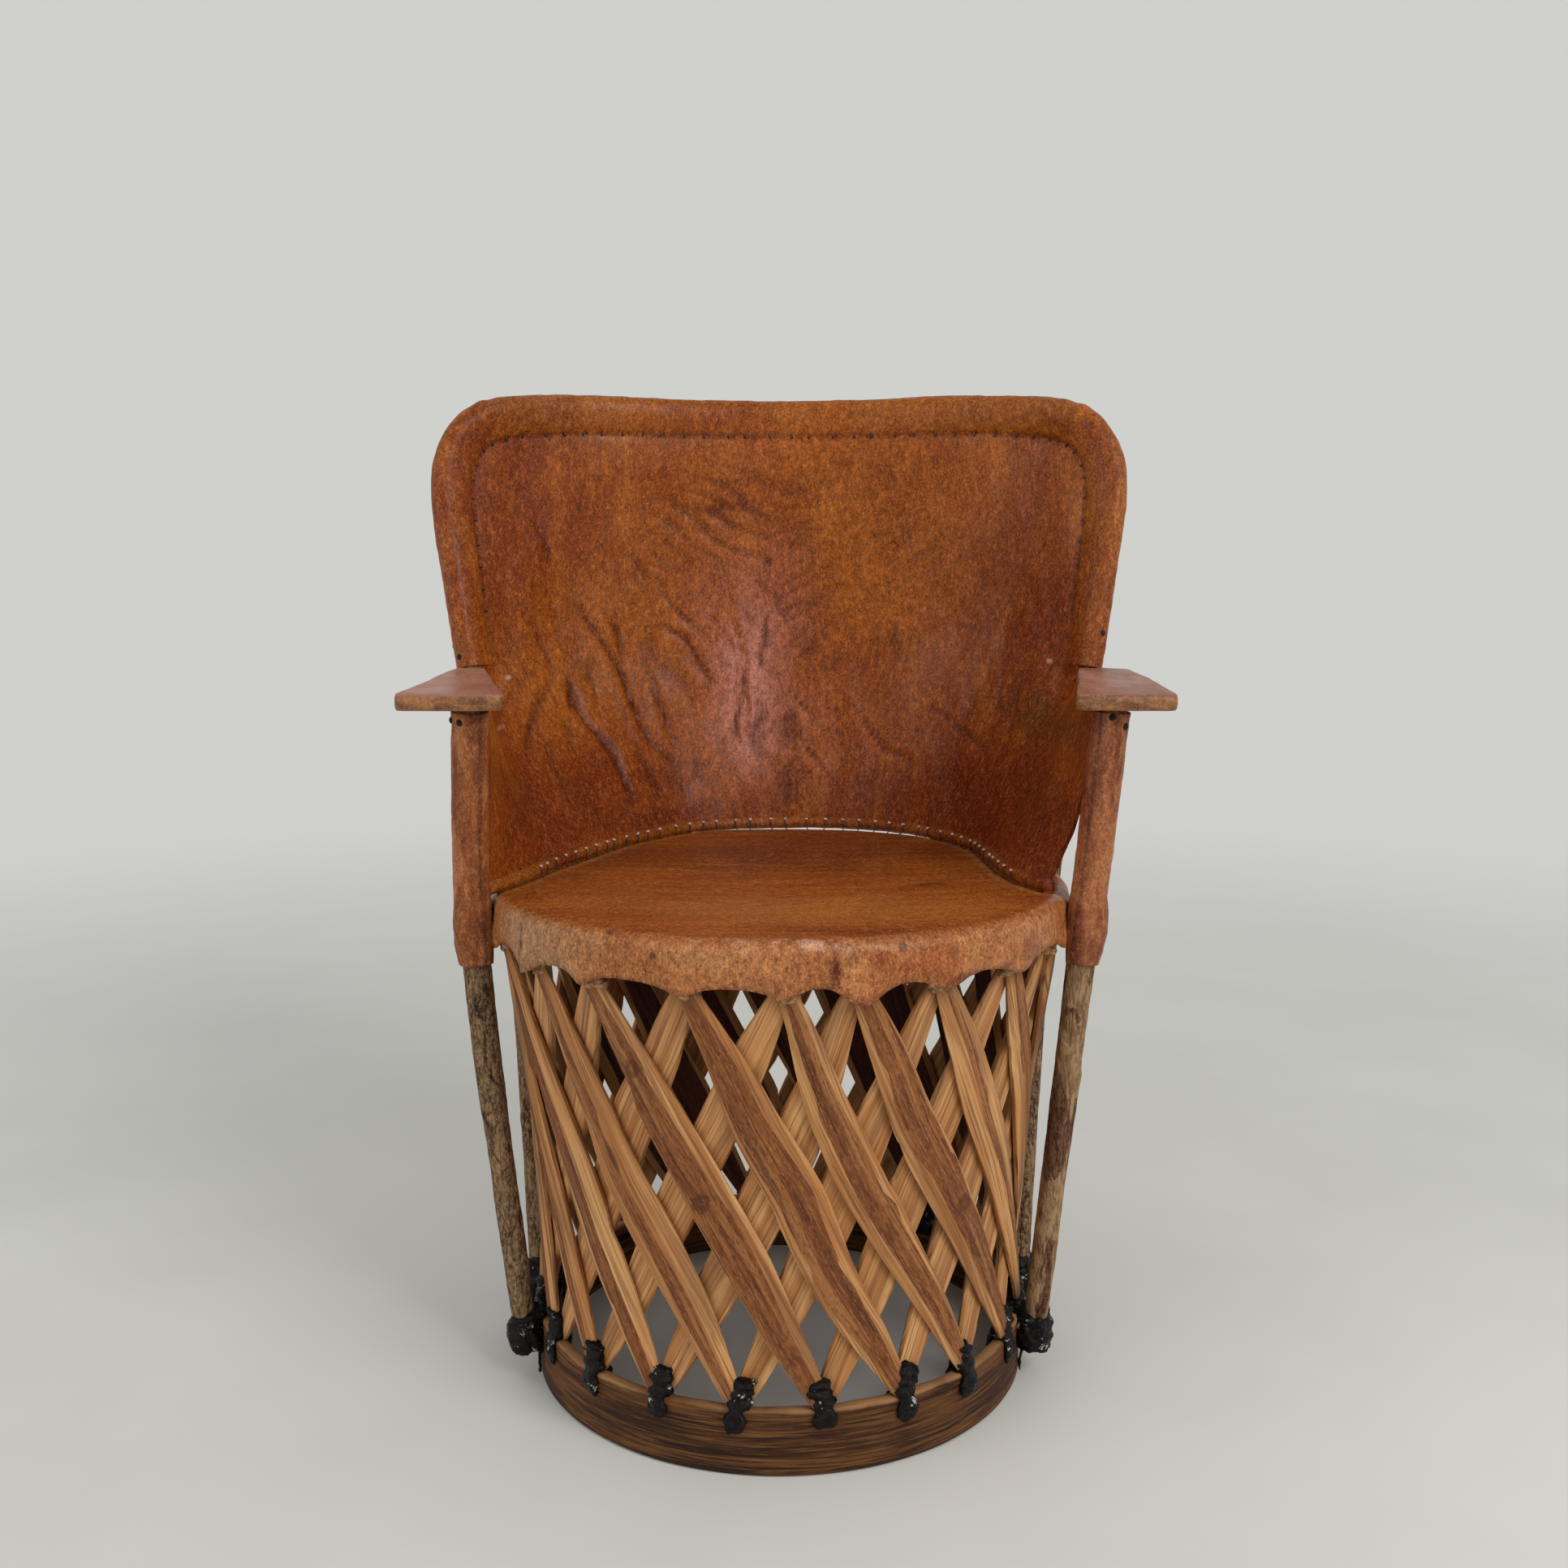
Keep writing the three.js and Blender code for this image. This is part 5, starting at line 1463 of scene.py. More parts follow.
    def nails(self, side: Side) -> None:
        """Models the two nails that hold a sleeve's upper end."""
        path = self.post_path(side)
        centre = path.by_length(np.array(path.share_at_height(self.nail_level)))
        parts = []
        for turn, drop in self.nail_places[side]:
            way = np.array([math.sin(turn), -math.cos(turn), 0])
            parts.append(nail(centre + way * 15.6 - [0, 0, drop], way))
        iron = Thong("sleeve_nail_iron", (24, 18, 18), (52, 42, 38), (90, 74, 62), 0.7)
        settle(join(f"sleeve_nails_{side.value}", parts), iron.material(), "black_thong")

    def arm_outline(self, side: Side, leg: Table) -> Table:
        """The outline of an arm, with rounded corners and a notch round the rear leg."""
        length = self.arm_to - self.arm_from
        corners = np.array([[side.sign * x, self.arm_from + y * length] for x, y in self.outlines[side]])
        t = np.linspace(0, 1, 10)[:, None]
        ring = []
        for index, corner in enumerate(corners):
            before, after = corners[index - 1], corners[(index + 1) % len(corners)]
            cut = 13 if side is Side.RIGHT and index == 0 else 10
            start, end = (corner + unit(other - corner) * cut for other in (before, after))
            ring.append((1 - t) ** 2 * start + 2 * t * (1 - t) * corner + t ** 2 * end)
        ring = np.concatenate(ring + [ring[0][:1]])
        where = travel(ring)
        outline = np.stack([np.interp(np.linspace(0, 1, 201), where / where[-1], ring[:, k])
                            for k in range(2)], -1)
        inwards = unit(np.array([side.sign * self.arm_middle, -40.0]) - leg[:2])
        for _ in range(40):
            close = np.linalg.norm(outline - leg[:2], axis=1) < 13.4
            outline[close] += inwards * 0.7
        return outline

    def arm(self, side: Side, leg: Table, leather: bpy.types.Material) -> None:
        """Models an arm: a flat paddle under leather, worn along its edges."""
        outline = self.arm_outline(side, leg)
        middle = np.array([side.sign * self.arm_middle, -25.0])
        half = self.arm_thickness / 2
        ripple = Ripple(90 + side.sign, 46)
        rows = []
        for size, level in self.arm_section:
            scale, inset = (size, 0) if size < 0.9 else (1, (1 - size) * 30)
            flat = middle + (outline - middle) * scale - unit(outline - middle) * inset
            point = np.column_stack([flat, self.arm_top(flat[:, 1]) - half + half * level])
            point[:, 2] += ripple(point) * 0.5 * (0.6 if abs(level) > 0.9 else 0.2)
            rows.append(point)
        table = np.stack(rows, 1)
        table[-1] = table[0]
        table[:, 0], table[:, -1] = table[:, 0].mean(0), table[:, -1].mean(0)
        edge = np.array([float(smooth(1 - abs(level), 0.02, 0.3)) * (size > 0.9)
                         for size, level in self.arm_section])
        values = {"edge": np.repeat(edge[None], table.shape[0], 0)}
        piece = surface(f"arm_leather_{side.value}_paddle", table, values, angle=50)
        settle(piece, leather, "trim_leather", f"arm_leather_{side.value}")
        dress(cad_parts[f"arm_board_{side.value}"], bpy.data.materials["hoop_wood"])

    def build(self, leg_at: Callable[[Side, float], Table], bark: bpy.types.Material) -> None:
        """Models and dresses the front.

        Args:
            leg_at: gives a rear leg's middle at a height.
            bark: the left post's finish.
        """
        # The right sleeve is painted lighter and the left darker: partly their own tone, partly painted light
        # falling from the right.
        tones = {Side.LEFT: ((86, 36, 16), (132, 70, 34), (166, 102, 56)),
                 Side.RIGHT: ((108, 50, 28), (158, 92, 56), (186, 122, 80))}
        sleeves = {side: SleeveLeather(f"sleeve_leather_{side.value}", *tones[side], (60, 60, 9),
                                       rough=0.46).material() for side in Side}
        # The arm leather's pale pink tones are partly its own colour and partly painted sheen.
        arm = ArmLeather("arm_leather", (138, 82, 60), (164, 108, 86), (190, 140, 118), (30, 8, 30),
                         rough=0.44, speckle=0.5, gloss=0.5).material()
        barks = {Side.LEFT: bark, Side.RIGHT: Bark("flayed_bark", flayed=True).material()}
        for side in Side:
            self.post(side, barks[side])
            self.sleeve(side, sleeves[side])
            self.nails(side)
            self.arm(side, leg_at(side, self.arm_front), arm)


@dataclass
class Back:
    """The bent stick and the leather stitched round it."""

    stick_radius: float = 10.0
    roll: float = 12.8
    hem_radius: float = 6.8
    hem_height: float = 447.1
    seat_radius: float = 254.93
    seat_level: float = 440.2
    leather: float = 3.0
    rim_leather: float = 2.4
    seam: float = 25.0
    seam_height: float = 6.5
    arm_level: float = 606.4
    arm_gap: float = 15.0
    post_level: float = 601.0
    post_gap: float = 15.2
    corner: float = 848.0
    roll_start: float = 627.3
    rim_end: float = 620.4
    depth: float = 285.0
    # The stick's upper bend: across, up and back, as shares of 317.5, 257 and 170 mm
    bend: tuple = (
        (0.965, 0.33, 0.07), (1, 0.68, 0.14), (0.987, 0.805, 0.18), (0.938, 0.907, 0.24),
        (0.855, 0.965, 0.355), (0.74, 0.99, 0.537), (0.52, 1.004, 0.785), (0.25, 1.001, 0.952),
    )
    # The hem seen from above, as shares of the seat's radius
    hem_plan: tuple = (
        (-0.965, -0.31), (-0.88, -0.1), (-0.81, 0.16), (-0.69, 0.45), (-0.55, 0.7), (-0.34, 0.94),
        (0, 1.035), (0.37, 0.985), (0.61, 0.78), (0.745, 0.52), (0.79, 0.15), (0.83, -0.14), (0.895, -0.29),
    )
    # The sheet at the arms' level from leg to middle, as shares of its half width and depth
    arm_plan: tuple = ((0.885, 0.585), (0.7, 0.79), (0.42, 0.94), (0, 0.995))
    # Creases of the sheet seen from the front: across and up in mm, then depth in mm
    creases: tuple = (
        ((-240, 761, -236, 739, -232, 716), 1.2),
        ((-207, 682, -189, 649, -171, 619, -159, 586, -146, 558, -129, 529, -101, 508), 2.6),
        ((-182, 673, -165, 641, -161, 606), 1.6), ((-134, 763, -130, 737, -125, 714), 0.7),
        ((-126, 695, -106, 670, -85, 647), 0.9), ((-120, 653, -100, 639, -81, 613, -68, 594), 2.4),
        ((-109, 635, -88, 613, -77, 596), 1.0),
        ((-219, 602, -202, 576, -182, 544, -164, 515, -147, 481), 2.2),
        ((-145, 628, -131, 587, -120, 568, -115, 539, -109, 519), 1.5),
        ((-19, 665, -15, 651, -19, 630, -20, 608), 1.8), ((-13, 733, -13, 717, -13, 701), 1.2),
        ((-37, 608, -40, 575, -47, 549, -45, 531), 1.2), ((11, 591, 21, 568, 38, 552), 1.0),
        ((-59, 764, -51, 755, -42, 745), 0.8), ((-154, 729, -149, 719, -144, 709), 0.6),
        ((81, 758, 83, 722, 82, 687), 0.6), ((124, 658, 122, 638, 126, 620), 0.8),
        ((74, 578, 99, 541, 138, 509), 1.0), ((155, 573, 184, 553, 214, 529), 0.9),
        ((22, 544, 40, 510, 73, 478), 0.9), ((-249, 667, -235, 634, -222, 601), 0.8),
        ((-240, 560, -218, 524, -203, 486), 0.9),
    )
    spans: int = 256
    side_spans: int = 30
    low_rows: int = 48
    high_rows: int = 92
    rim_steps: int = 360
    # How far the sheet bulges beside the right sleeve
    sleeve_swing: tuple = (13.0, 15.0, 0.0)
    # The rim's section from the seam to the stick: inwards and how far it is sunk in
    rim_front: tuple = (
        (3.5, 0), (7, 0), (10.5, 0), (14, 0), (17, 0), (19.5, 0), (21.8, 0.1), (23.4, 0.4), (24.6, 1.2),
        (25.6, 2.4), (26.2, 4.0),
    )
    # The flap behind: inwards and forwards
    rim_flap: tuple = ((5, -11.8), (11, -8.6), (17, -4.2), (22, -0.9), (26, 0.3), (31, 0.5), (36, 0.3))
    rim_stitches: int = 50
    hem_stitches: int = 42
    # How far a stitch pulls the leather in along the seam
    stitch_pull: float = 3.6
    # The roll's nails: height and azimuth on the stick in radians
    nail_places: dict = field(default_factory=lambda: {
        Side.LEFT: ((631, 0.5), (640, 1.9)), Side.RIGHT: ((653, 0.5), (634, 1.9))})
    stick: Path = field(init=False)
    hem: Path = field(init=False)
    rim_shares: Table = field(init=False)
    rim_ways: Table = field(init=False)

    def __post_init__(self) -> None:
        """Draws the stick's and the hem's middle lines."""
        right = [cylindrical(101, 230.3, 5), cylindrical(108, 265.23, 396), np.array([293.0, 115.0, 615.0])]
        right += [np.array([x * 317.5, 115 + depth * 170, 615 + rise * 257]) for x, rise, depth in self.bend]
        left = [point * [-1, 1, 1] for point in right]
        self.stick = Path([*left, [0, self.depth, 872], *right[::-1]], 30)
        self.hem = Path([[x * self.seat_radius, y * self.seat_radius, self.hem_height]
                         for x, y in self.hem_plan])

    def leg_at(self, side: Side, height: float) -> Table:
        """A rear leg's middle at a height."""
        share = self.stick.share_at_height(height, 0.5)
        return self.stick.by_length(np.array(share if side is Side.LEFT else 1 - share))

    def leg_edge(self, side: Side, heights: Table) -> Table:
        """The sheet's side edge: inside the leg at the arms, on its middle above them."""
        points = np.stack([self.leg_at(side, float(height)) for height in heights])
        ease = smooth(heights, self.arm_level, self.arm_level + 9)
        points[:, 0] -= side.sign * (self.stick_radius + 0.3 + self.leather / 2) * (1 - ease)
        return points

    def post_edge(self, front: Front, side: Side) -> Table:
        """The sheet's upper front corner, at the post's sleeve."""
        path = front.post_path(side)
        point = path.by_length(np.array(path.share_at_height(self.post_level)))
        point[0] -= side.sign * self.post_gap
        return self._under_arm(front, point)

    def _under_arm(self, front: Front, point: Table) -> Table:
        """The point moved just under the arm."""
        return np.array([point[0], point[1], front.arm_top(point[1]) - self.arm_gap])

    def sheet(self, front: Front) -> tuple[Table, Table]:
        """The sheet's middle surface, and which of its faces exist.

        Args:
            front: the front sub-assembly, which the sheet meets at the posts.

        Returns:
            The table of points and the mask of faces.
        """
        legs = {side: self.leg_edge(side, np.array([self.arm_level]))[0] for side in Side}
        spread = abs(legs[Side.LEFT][0])
        rear = [np.array([-x * spread, y * self.depth, self.arm_level]) for x, y in self.arm_plan]
        rear += [point * [-1, 1, 1] for point in rear[-2::-1]]
        ends = {}
        for side in Side:
            post = self.post_edge(front, side)
            ends[side] = [post, self._under_arm(front, (post + legs[side]) / 2), legs[side]]
        level = Path([*ends[Side.LEFT], *rear, *ends[Side.RIGHT][::-1]])
        first, last, lows = self.side_spans, self.spans - self.side_spans, self.low_rows
        across = np.interp(np.arange(self.spans + 1), [0, first, last, self.spans], [0, 1 / 6, 5 / 6, 1])
        low = np.linspace(0, 1, lows + 1)
        bottom, middle = self.hem.by_point(across), level.by_point(across)
        table = np.full((self.spans + 1, lows + self.high_rows + 1, 3), np.nan)
        table[:, :lows + 1] = bottom[:, None] + (middle - bottom)[:, None] * low[None, :, None]
        bulge = np.sin(math.pi * np.clip(low * 1.05, 0, 1)) ** 0.8
        weight = smooth(np.arange(self.spans + 1), last, self.spans) ** 1.4
        table[:, :lows + 1] += (weight[:, None] * bulge[None])[..., None] * np.array(self.sleeve_swing)
        inner = np.linspace(0, 1, last - first + 1)
        up = np.linspace(0, 1, self.high_rows + 1)
        corner = self.stick.share_at_height(self.corner, 0.5)
        floor, top = middle[first:last + 1], self.stick.by_length(corner + (1 - 2 * corner) * inner)
        left, right = (self.leg_edge(side, self.arm_level + (self.corner - self.arm_level) * up)
                       for side in Side)
        u, v = inner[:, None, None], up[None, :, None]
        table[first:last + 1, lows:] = (
            floor[:, None] * (1 - v) + top[:, None] * v + left[None] * (1 - u) + right[None] * u
            - floor[0] * (1 - u) * (1 - v) - floor[-1] * u * (1 - v)
            - top[0] * (1 - u) * v - top[-1] * u * v)
        self._ease(table[first:last + 1])
        keep = np.ones((self.spans, lows + self.high_rows), bool)
        keep[:first, lows:] = keep[last:, lows:] = False
        return table, keep

    def _ease(self, block: Table) -> None:
        """Rounds the fold between the sheet's lower and upper parts."""
        near = bell(np.arange(block.shape[1]) - self.low_rows, 15.0)[None, 1:-1, None]
        columns = np.arange(len(block))
        side = smooth(np.minimum(columns, columns[::-1]), 0, 14)[:, None, None]
        for _ in range(160):
            mean = (block[:, :-2] + block[:, 2:]) / 2
            block[:, 1:-1] += (mean - block[:, 1:-1]) * near * side

    @staticmethod
    def normals(table: Table) -> Table:
        """Unit normals of a table of points, towards the sitter."""
        filled = np.nan_to_num(table)
        known = ~np.isnan(table[..., 0])
        result = unit(np.cross(np.gradient(filled, axis=0), np.gradient(filled, axis=1)))
        broken = np.zeros(known.shape, bool)
        broken[1:-1, 1:-1] = ~(known[:-2, 1:-1] & known[2:, 1:-1] & known[1:-1, :-2] & known[1:-1, 2:])
        for shift in (1, 2):
            for i, j in np.argwhere(broken & known):
                for other in ((i + shift, j), (i - shift, j), (i, j - shift)):
                    inside = min(other) >= 0 and other[0] < known.shape[0]
                    if inside and known[other] and not broken[other]:
                        result[i, j], broken[i, j] = result[other], False
                        break
        towards = np.array([0.0, -60.0, 640.0]) - filled
        return result * np.sign(np.sum(result * towards, -1, keepdims=True))

    def rim_height(self, away: Table) -> Table:
        """How far the leather stands out over the stick, at distances inwards from its middle."""
        return self.roll - (self.roll - self.seam_height - 0.9) * np.clip(away / self.seam, 0, 1) ** 2

    def crease_depth(self, table: Table) -> Table:
        """How deep the creases are at each point of the sheet."""
        filled = np.nan_to_num(table)
        drift = np.stack([Ripple(33, 60)(filled) * 4, Ripple(34, 60)(filled) * 3], -1)
        flat = table[..., [0, 2]] + drift
        depth = np.zeros(flat.shape[:2])
        for line, deep in self.creases:
            points = np.array(line, float).reshape(-1, 2)
            path = Path(np.column_stack([points, np.zeros(len(points))]), 24).samples[:, :2]
            taper = np.sin(math.pi * np.linspace(0, 1, len(path))) ** 0.6
            gaps = np.nan_to_num(np.linalg.norm(flat[:, :, None] - path[None, None], axis=-1), nan=FAR)
            nearest = gaps.argmin(-1)
            gap = np.take_along_axis(gaps, nearest[..., None], -1)[..., 0]
            depth = depth + taper[nearest] * deep * (1.3 * bell(gap, 2.8) - 0.5 * bell(gap - 8, 5))
        return depth + self._pulled_folds(filled)

    @staticmethod
    def _pulled_folds(table: Table) -> Table:
        """Fine folds that fan out from the upper left corner and, weaker, from the right one."""
        total = np.zeros(table.shape[:2])
        for sign, seed, strength in ((-1, 35, 1.0), (1, 37, 0.55)):
            side, up = sign * table[..., 0], table[..., 2]
            turn = np.degrees(np.arctan2(280 - side, 832 - up))
            reach = np.hypot(280 - side, 832 - up)
            fold = 1 - np.abs(Ripple(seed, 26, size=2)(np.stack([turn * 4.6, reach * 0.22], -1))) * 2.2
            place = smooth(reach, 90, 190) * smooth(side, -50, 20) * smooth(up, 450, 500)
            total += strength * np.clip(fold, -0.2, 1) * place * (0.5 + 0.5 * Ripple(seed + 1, 130)(table))
        return 1.35 * np.clip(total, -0.4, 1.1)

    def near_stick(self, table: Table) -> tuple[Table, Table, Table]:
        """How the sheet's points lie to the stick.

        Args:
            table: the sheet's middle surface.

        Returns:
            For each point its distance, and the share and the heading of the nearest place.
        """
        start = self.stick.share_at_height(self.rim_end - 6, 0.5)
        samples = np.linspace(start, 1 - start, 700)
        line, headings = self.stick.by_length(samples), self.stick.heading(samples)
        known = ~np.isnan(table[..., 0])
        away, along, heading = np.full(known.shape, FAR), np.zeros(known.shape), np.zeros_like(table)
        for column in range(len(table)):
            rows = known[column]
            gaps = np.linalg.norm(table[column, rows, None] - line[None], axis=-1)
            nearest = gaps.argmin(1)
            away[column, rows], along[column, rows] = gaps.min(1), samples[nearest]
            heading[column, rows] = headings[nearest]
        return away, along, heading

    def build_sheet(self, front: Front) -> Piece:
        """Models the sheet, up over the front of the stick."""
        table, keep = self.sheet(front)
        self.inward_ways(table)
        normals = self.normals(table)
        away, along, heading = self.near_stick(table)
        crease = self.crease_depth(table)
        table = np.nan_to_num(table)
        level = table[..., 2]
        height = self.rim_height(away) - 1.1 * (1 - smooth(away, self.seam - 6, self.seam))
        ripple = Ripple(44, 90)(table) * 1.3 + Ripple(45, 30)(table) * 0.4
        calm = smooth(away, self.seam, self.seam + 40)
        proud = (self.seam_height - 1.5) * smooth(level, self.roll_start, self.roll_start + 80)
        lift = 1.5 + proud * (1 - smooth(away, self.seam, self.seam + 90)) + (ripple - crease) * calm
        low_end = 0.12 + 0.88 * smooth(level, self.rim_end - 12, self.rim_end + 2)
        total = np.where(away < self.seam, height, lift) * np.where(away < self.seam + 12, low_end, 1)
        blend = smooth(away, self.seam, self.seam + 12)[..., None]
        rim_way = across_heading(normals, heading) * (1 - blend) + normals * blend
        gap_along = np.abs(along[..., None] - self.stitch_shares()[None, None]).min(-1) * self.stick.length
        dimple = 1.1 * bell(away - self.seam - 1, 3.4) * (0.4 + 0.6 * bell(gap_along, self.stitch_pull))
        fade = smooth(level, self.roll_start - 2, self.roll_start + 22)
        values = {"crease": np.clip(crease / 1.3, 0, 1) * calm, "seam": bell(away - self.seam, 4.0) * fade,
                  "rim": (1 - smooth(away, self.seam - 7, self.seam)) * fade}
        table = table + rim_way * (total - dimple * fade)[..., None]
        piece = surface("back_sheet", table, values, keep=keep, closed=False)
        edit(piece, bpy.ops.mesh.delete_loose, weld)
        face = min(piece.data.polygons, key=lambda p: abs(p.center.x) + abs(p.center.z - 0.65))
        if face.normal.y > 0:
            edit(piece, bpy.ops.mesh.flip_normals)
        finish_with(piece, "SOLIDIFY", thickness=self.leather * 0.001, offset=-1.0)
        return piece

    def stitch_shares(self) -> Table:
        """Where the rim's stitches are, as shares of the stick's length."""
        start = self.stick.share_at_height(self.roll_start + 22, 0.5)
        draw = np.random.default_rng(5)
        shares = np.linspace(start, 1 - start, self.rim_stitches)
        return shares + draw.uniform(-1, 1, self.rim_stitches) * 0.0011

    def inward_ways(self, table: Table) -> None:
        """Finds which way the sheet leaves the stick, all along it.

        Args:
            table: the sheet's middle surface.
        """
        points = table[~np.isnan(table[..., 0])]
        start = self.stick.share_at_height(self.rim_end, 0.5)
        self.rim_shares = np.linspace(start, 1 - start, self.rim_steps + 1)
        centres, headings = self.stick.by_length(self.rim_shares), self.stick.heading(self.rim_shares)
        ways = np.zeros_like(centres)
        for index, (centre, heading) in enumerate(zip(centres, headings)):
            offset = points - centre
            along = offset @ heading
            across = offset - along[:, None] * heading
            away = np.linalg.norm(across, axis=1)
            near = (np.abs(along) < 9) & (away > 16) & (away < 42)
            ways[index] = unit(unit(across[near]).sum(0))
        padded = np.pad(ways, ((6, 6), (0, 0)), mode="edge")
        self.rim_ways = np.stack([np.convolve(padded[:, k], np.full(13, 1 / 13), "valid")
                                  for k in range(3)], -1)

    def rim_frames(self, shares: Table) -> tuple[Table, Table, Table, Table]:
        """Middle, heading, inward and forward directions of the rim.

        Args:
            shares: shares of the stick's length.

        Returns:
            The four arrays.
        """
        centres, headings = self.stick.by_length(shares), self.stick.heading(shares)
        inward = np.stack([np.interp(shares, self.rim_shares, self.rim_ways[:, k]) for k in range(3)], -1)
        inward = across_heading(inward, headings)
        forward = np.cross(headings, inward)
        return centres, headings, inward, forward * np.sign((forward @ FORWARD)[:, None])

    def build_rim(self) -> Piece:
        """Models the leather from the seam in front, round the stick, to the flap behind."""
        shares = self.rim_shares
        centres, _, inward, forward = self.rim_frames(shares)
        section = [(a, float(self.rim_height(a)) - sunk) for a, sunk in self.rim_front[::-1]]
        section += [(self.roll * math.cos(a), self.roll * math.sin(a))
                    for a in np.radians(np.linspace(90, 262, 18))]
        section += self.rim_flap
        travelled = shares * self.stick.length
        gap = np.abs(shares[:, None] - self.stitch_shares()[None]).min(1) * self.stick.length
        pull = bell(gap, self.stitch_pull)
        rows = []
        for index, (inner, out) in enumerate(section):
            grid = np.stack([travelled, np.full_like(travelled, index * 3.0)], -1)
            bumpy = Ripple(51, 90, size=2)(grid) * 0.5 + Ripple(52, 24, size=2)(grid) * 0.3
            grow = 1 + bumpy * float(smooth(index, 2, 9)) / max(math.hypot(inner, out), 8)
            if index == len(section) - 1:
                grow = grow + 0.05 * Ripple(53, 30, size=1)(travelled[:, None])
            tug = pull * 0.9 * math.exp(-((index - 3) / 2.2) ** 2)
            rows.append(centres + inward * (inner * grow)[:, None] + forward * (out * grow - tug)[:, None])
        table = self._pleats(np.stack(rows, 1), centres, shares)
        size = table.shape[:2]
        row = np.arange(size[1])[None] + np.zeros(size)
        seam = np.maximum(1 - smooth(row, 1, 4), bell(row - (size[1] - 3), 1.5))
        piece = surface("back_rim", table, {"rim": np.ones(size), "seam": seam, "crease": np.zeros(size)},
                        closed=False)
        edit(piece, weld)
        centre = Vector(row_frame(centres[self.rim_steps // 2]))
        face = min(piece.data.polygons, key=lambda p: abs((p.center - centre).length - self.roll * 0.001)
                   + abs(p.center.x) * 3)
        if (face.center - centre).dot(face.normal) < 0:
            edit(piece, bpy.ops.mesh.flip_normals)
        finish_with(piece, "SOLIDIFY", thickness=self.rim_leather * 0.001, offset=-1.0)
        return piece

    @staticmethod
    def _pleats(table: Table, centres: Table, shares: Table) -> Table:
        """Pinched folds at the rim's two corners."""
        behind = bell(np.arange(table.shape[1]) - 16, 7.0)[None, :, None]
        for x, z in ((-281, 855), (286, 851)):
            best = shares[np.hypot(centres[:, 0] - x, centres[:, 2] - z).argmin()]
            for shift, size in ((0, 3.2), (0.006, 1.4), (-0.007, 1.2)):
                push = size * bell(shares - best - shift, 0.0026)
                table = table + unit(table - centres[:, None]) * push[:, None, None] * behind
        return table

    def build_hem(self) -> Piece:
        """Models the rolled hem over the seat."""
        shares = np.linspace(0, 1, 300)
        grid = np.stack([shares * self.hem.length, 0 * shares], -1)
        radii = self.hem_radius - 0.35 + 0.35 * Ripple(61, 40, size=2)(grid)
        table = tube_table(self.hem.by_length(shares), radii, 18)
        size = table.shape[:2]
        return surface("back_hem", table, {
            "rim": np.ones(size), "seam": np.full(size, 0.15), "crease": np.zeros(size)})

    def lacing(self, pale: bpy.types.Material, dark: bpy.types.Material) -> None:
        """Laces the hem to the seat: pale stitches on both, and dark thread between them.

        Args:
            pale: the stitches' finish.
            dark: the thread's finish.
        """
        threads, beads = [], []
        draw = np.random.default_rng(9)
        shares = np.linspace(0.085, 0.94, self.hem_stitches)
        shares = shares + draw.uniform(-1, 1, self.hem_stitches) * 0.004
        for centre, heading in zip(self.hem.by_length(shares), self.hem.heading(shares)):
            inward = unit(np.cross(heading, [0.0, 0.0, 1.0]))
            inward = inward * np.sign(inward @ -centre + 1e-6)
            seat = centre + inward * (14.5 + draw.uniform(-1, 1.5)) + heading * draw.uniform(-2.5, 2.5)
            seat[2] = self.seat_level - 6 * (1 - smooth(np.hypot(seat[0], seat[1]), 20, 239))
            high = centre + inward * (self.hem_radius - 1.0) + np.array([0, 0, 4.6])
            line = curve([high - inward * 1.5, high + inward * 1.6 + [0, 0, -3.5],
                          high + inward * 1.2 + [0, 0, -8.0], seat + inward * 0.5 + [0, 0, 0.2],
                          seat + inward * 1.6 + [0, 0, -1.0]], 9, 6)
            threads.append(rod("loop", line, np.full(9, 0.6), 6))
            for place, way, out, size in (
                (high, heading, inward, 1.25), (seat, inward, np.array([0, 0, 1.0]), 1.0),
            ):
                way = unit(way + np.cross(way, out) * draw.uniform(-0.6, 0.6)) * draw.uniform(0.9, 1.7)
                bead = np.array([place - way - out * 0.4, place - way * 0.5 + out * 0.5, place + out * 0.7,
                                 place + way * 0.5 + out * 0.5, place + way - out * 0.4])
                beads.append(rod("bead", bead, np.array([0.7, 1, 1.05, 1, 0.7]) * size, 7))
        settle(join("hem_lacing", threads), dark, "back_leather")
        settle(join("hem_stitches", beads), pale, "back_leather")

    def stitches(self, thread: bpy.types.Material) -> None:
        """Models the rim's stitches, front and back."""
        parts = []
        draw = np.random.default_rng(17)
        for centre, heading, inner, ahead in zip(*self.rim_frames(self.stitch_shares())):
            way = unit(inner + heading * draw.uniform(-0.5, 0.5))
            for face, level in ((1, self.seam_height + 0.2), (-1, 0.2)):
                base = centre + inner * self.seam + ahead * level
                line = curve([base + way * along + ahead * face * rise for along, rise in (
                    (-3.2, -1.2), (-1.6, 0.5), (0, 0.8), (1.6, 0.4), (3.0, -1.2))], 8, 6)
                parts.append(rod("stitch", line, np.full(8, 0.9), 6))
        settle(join("rim_stitches", parts), thread, "back_leather")

    def nails(self) -> None:
        """Models the nails that hold the roll's lower ends to the stick."""
        parts = []
        for side, places in self.nail_places.items():
            for height, turn in places:
                way = unit(np.array([side.sign * math.sin(turn), -math.cos(turn), 0]))
                parts.append(nail(self.leg_at(side, height) + way * (self.roll + 0.2), way))
        iron = Thong("nail_iron", (34, 28, 26), (62, 52, 46), (90, 74, 62), 0.7)
        settle(join("roll_nails", parts), iron.material(), "black_thong")

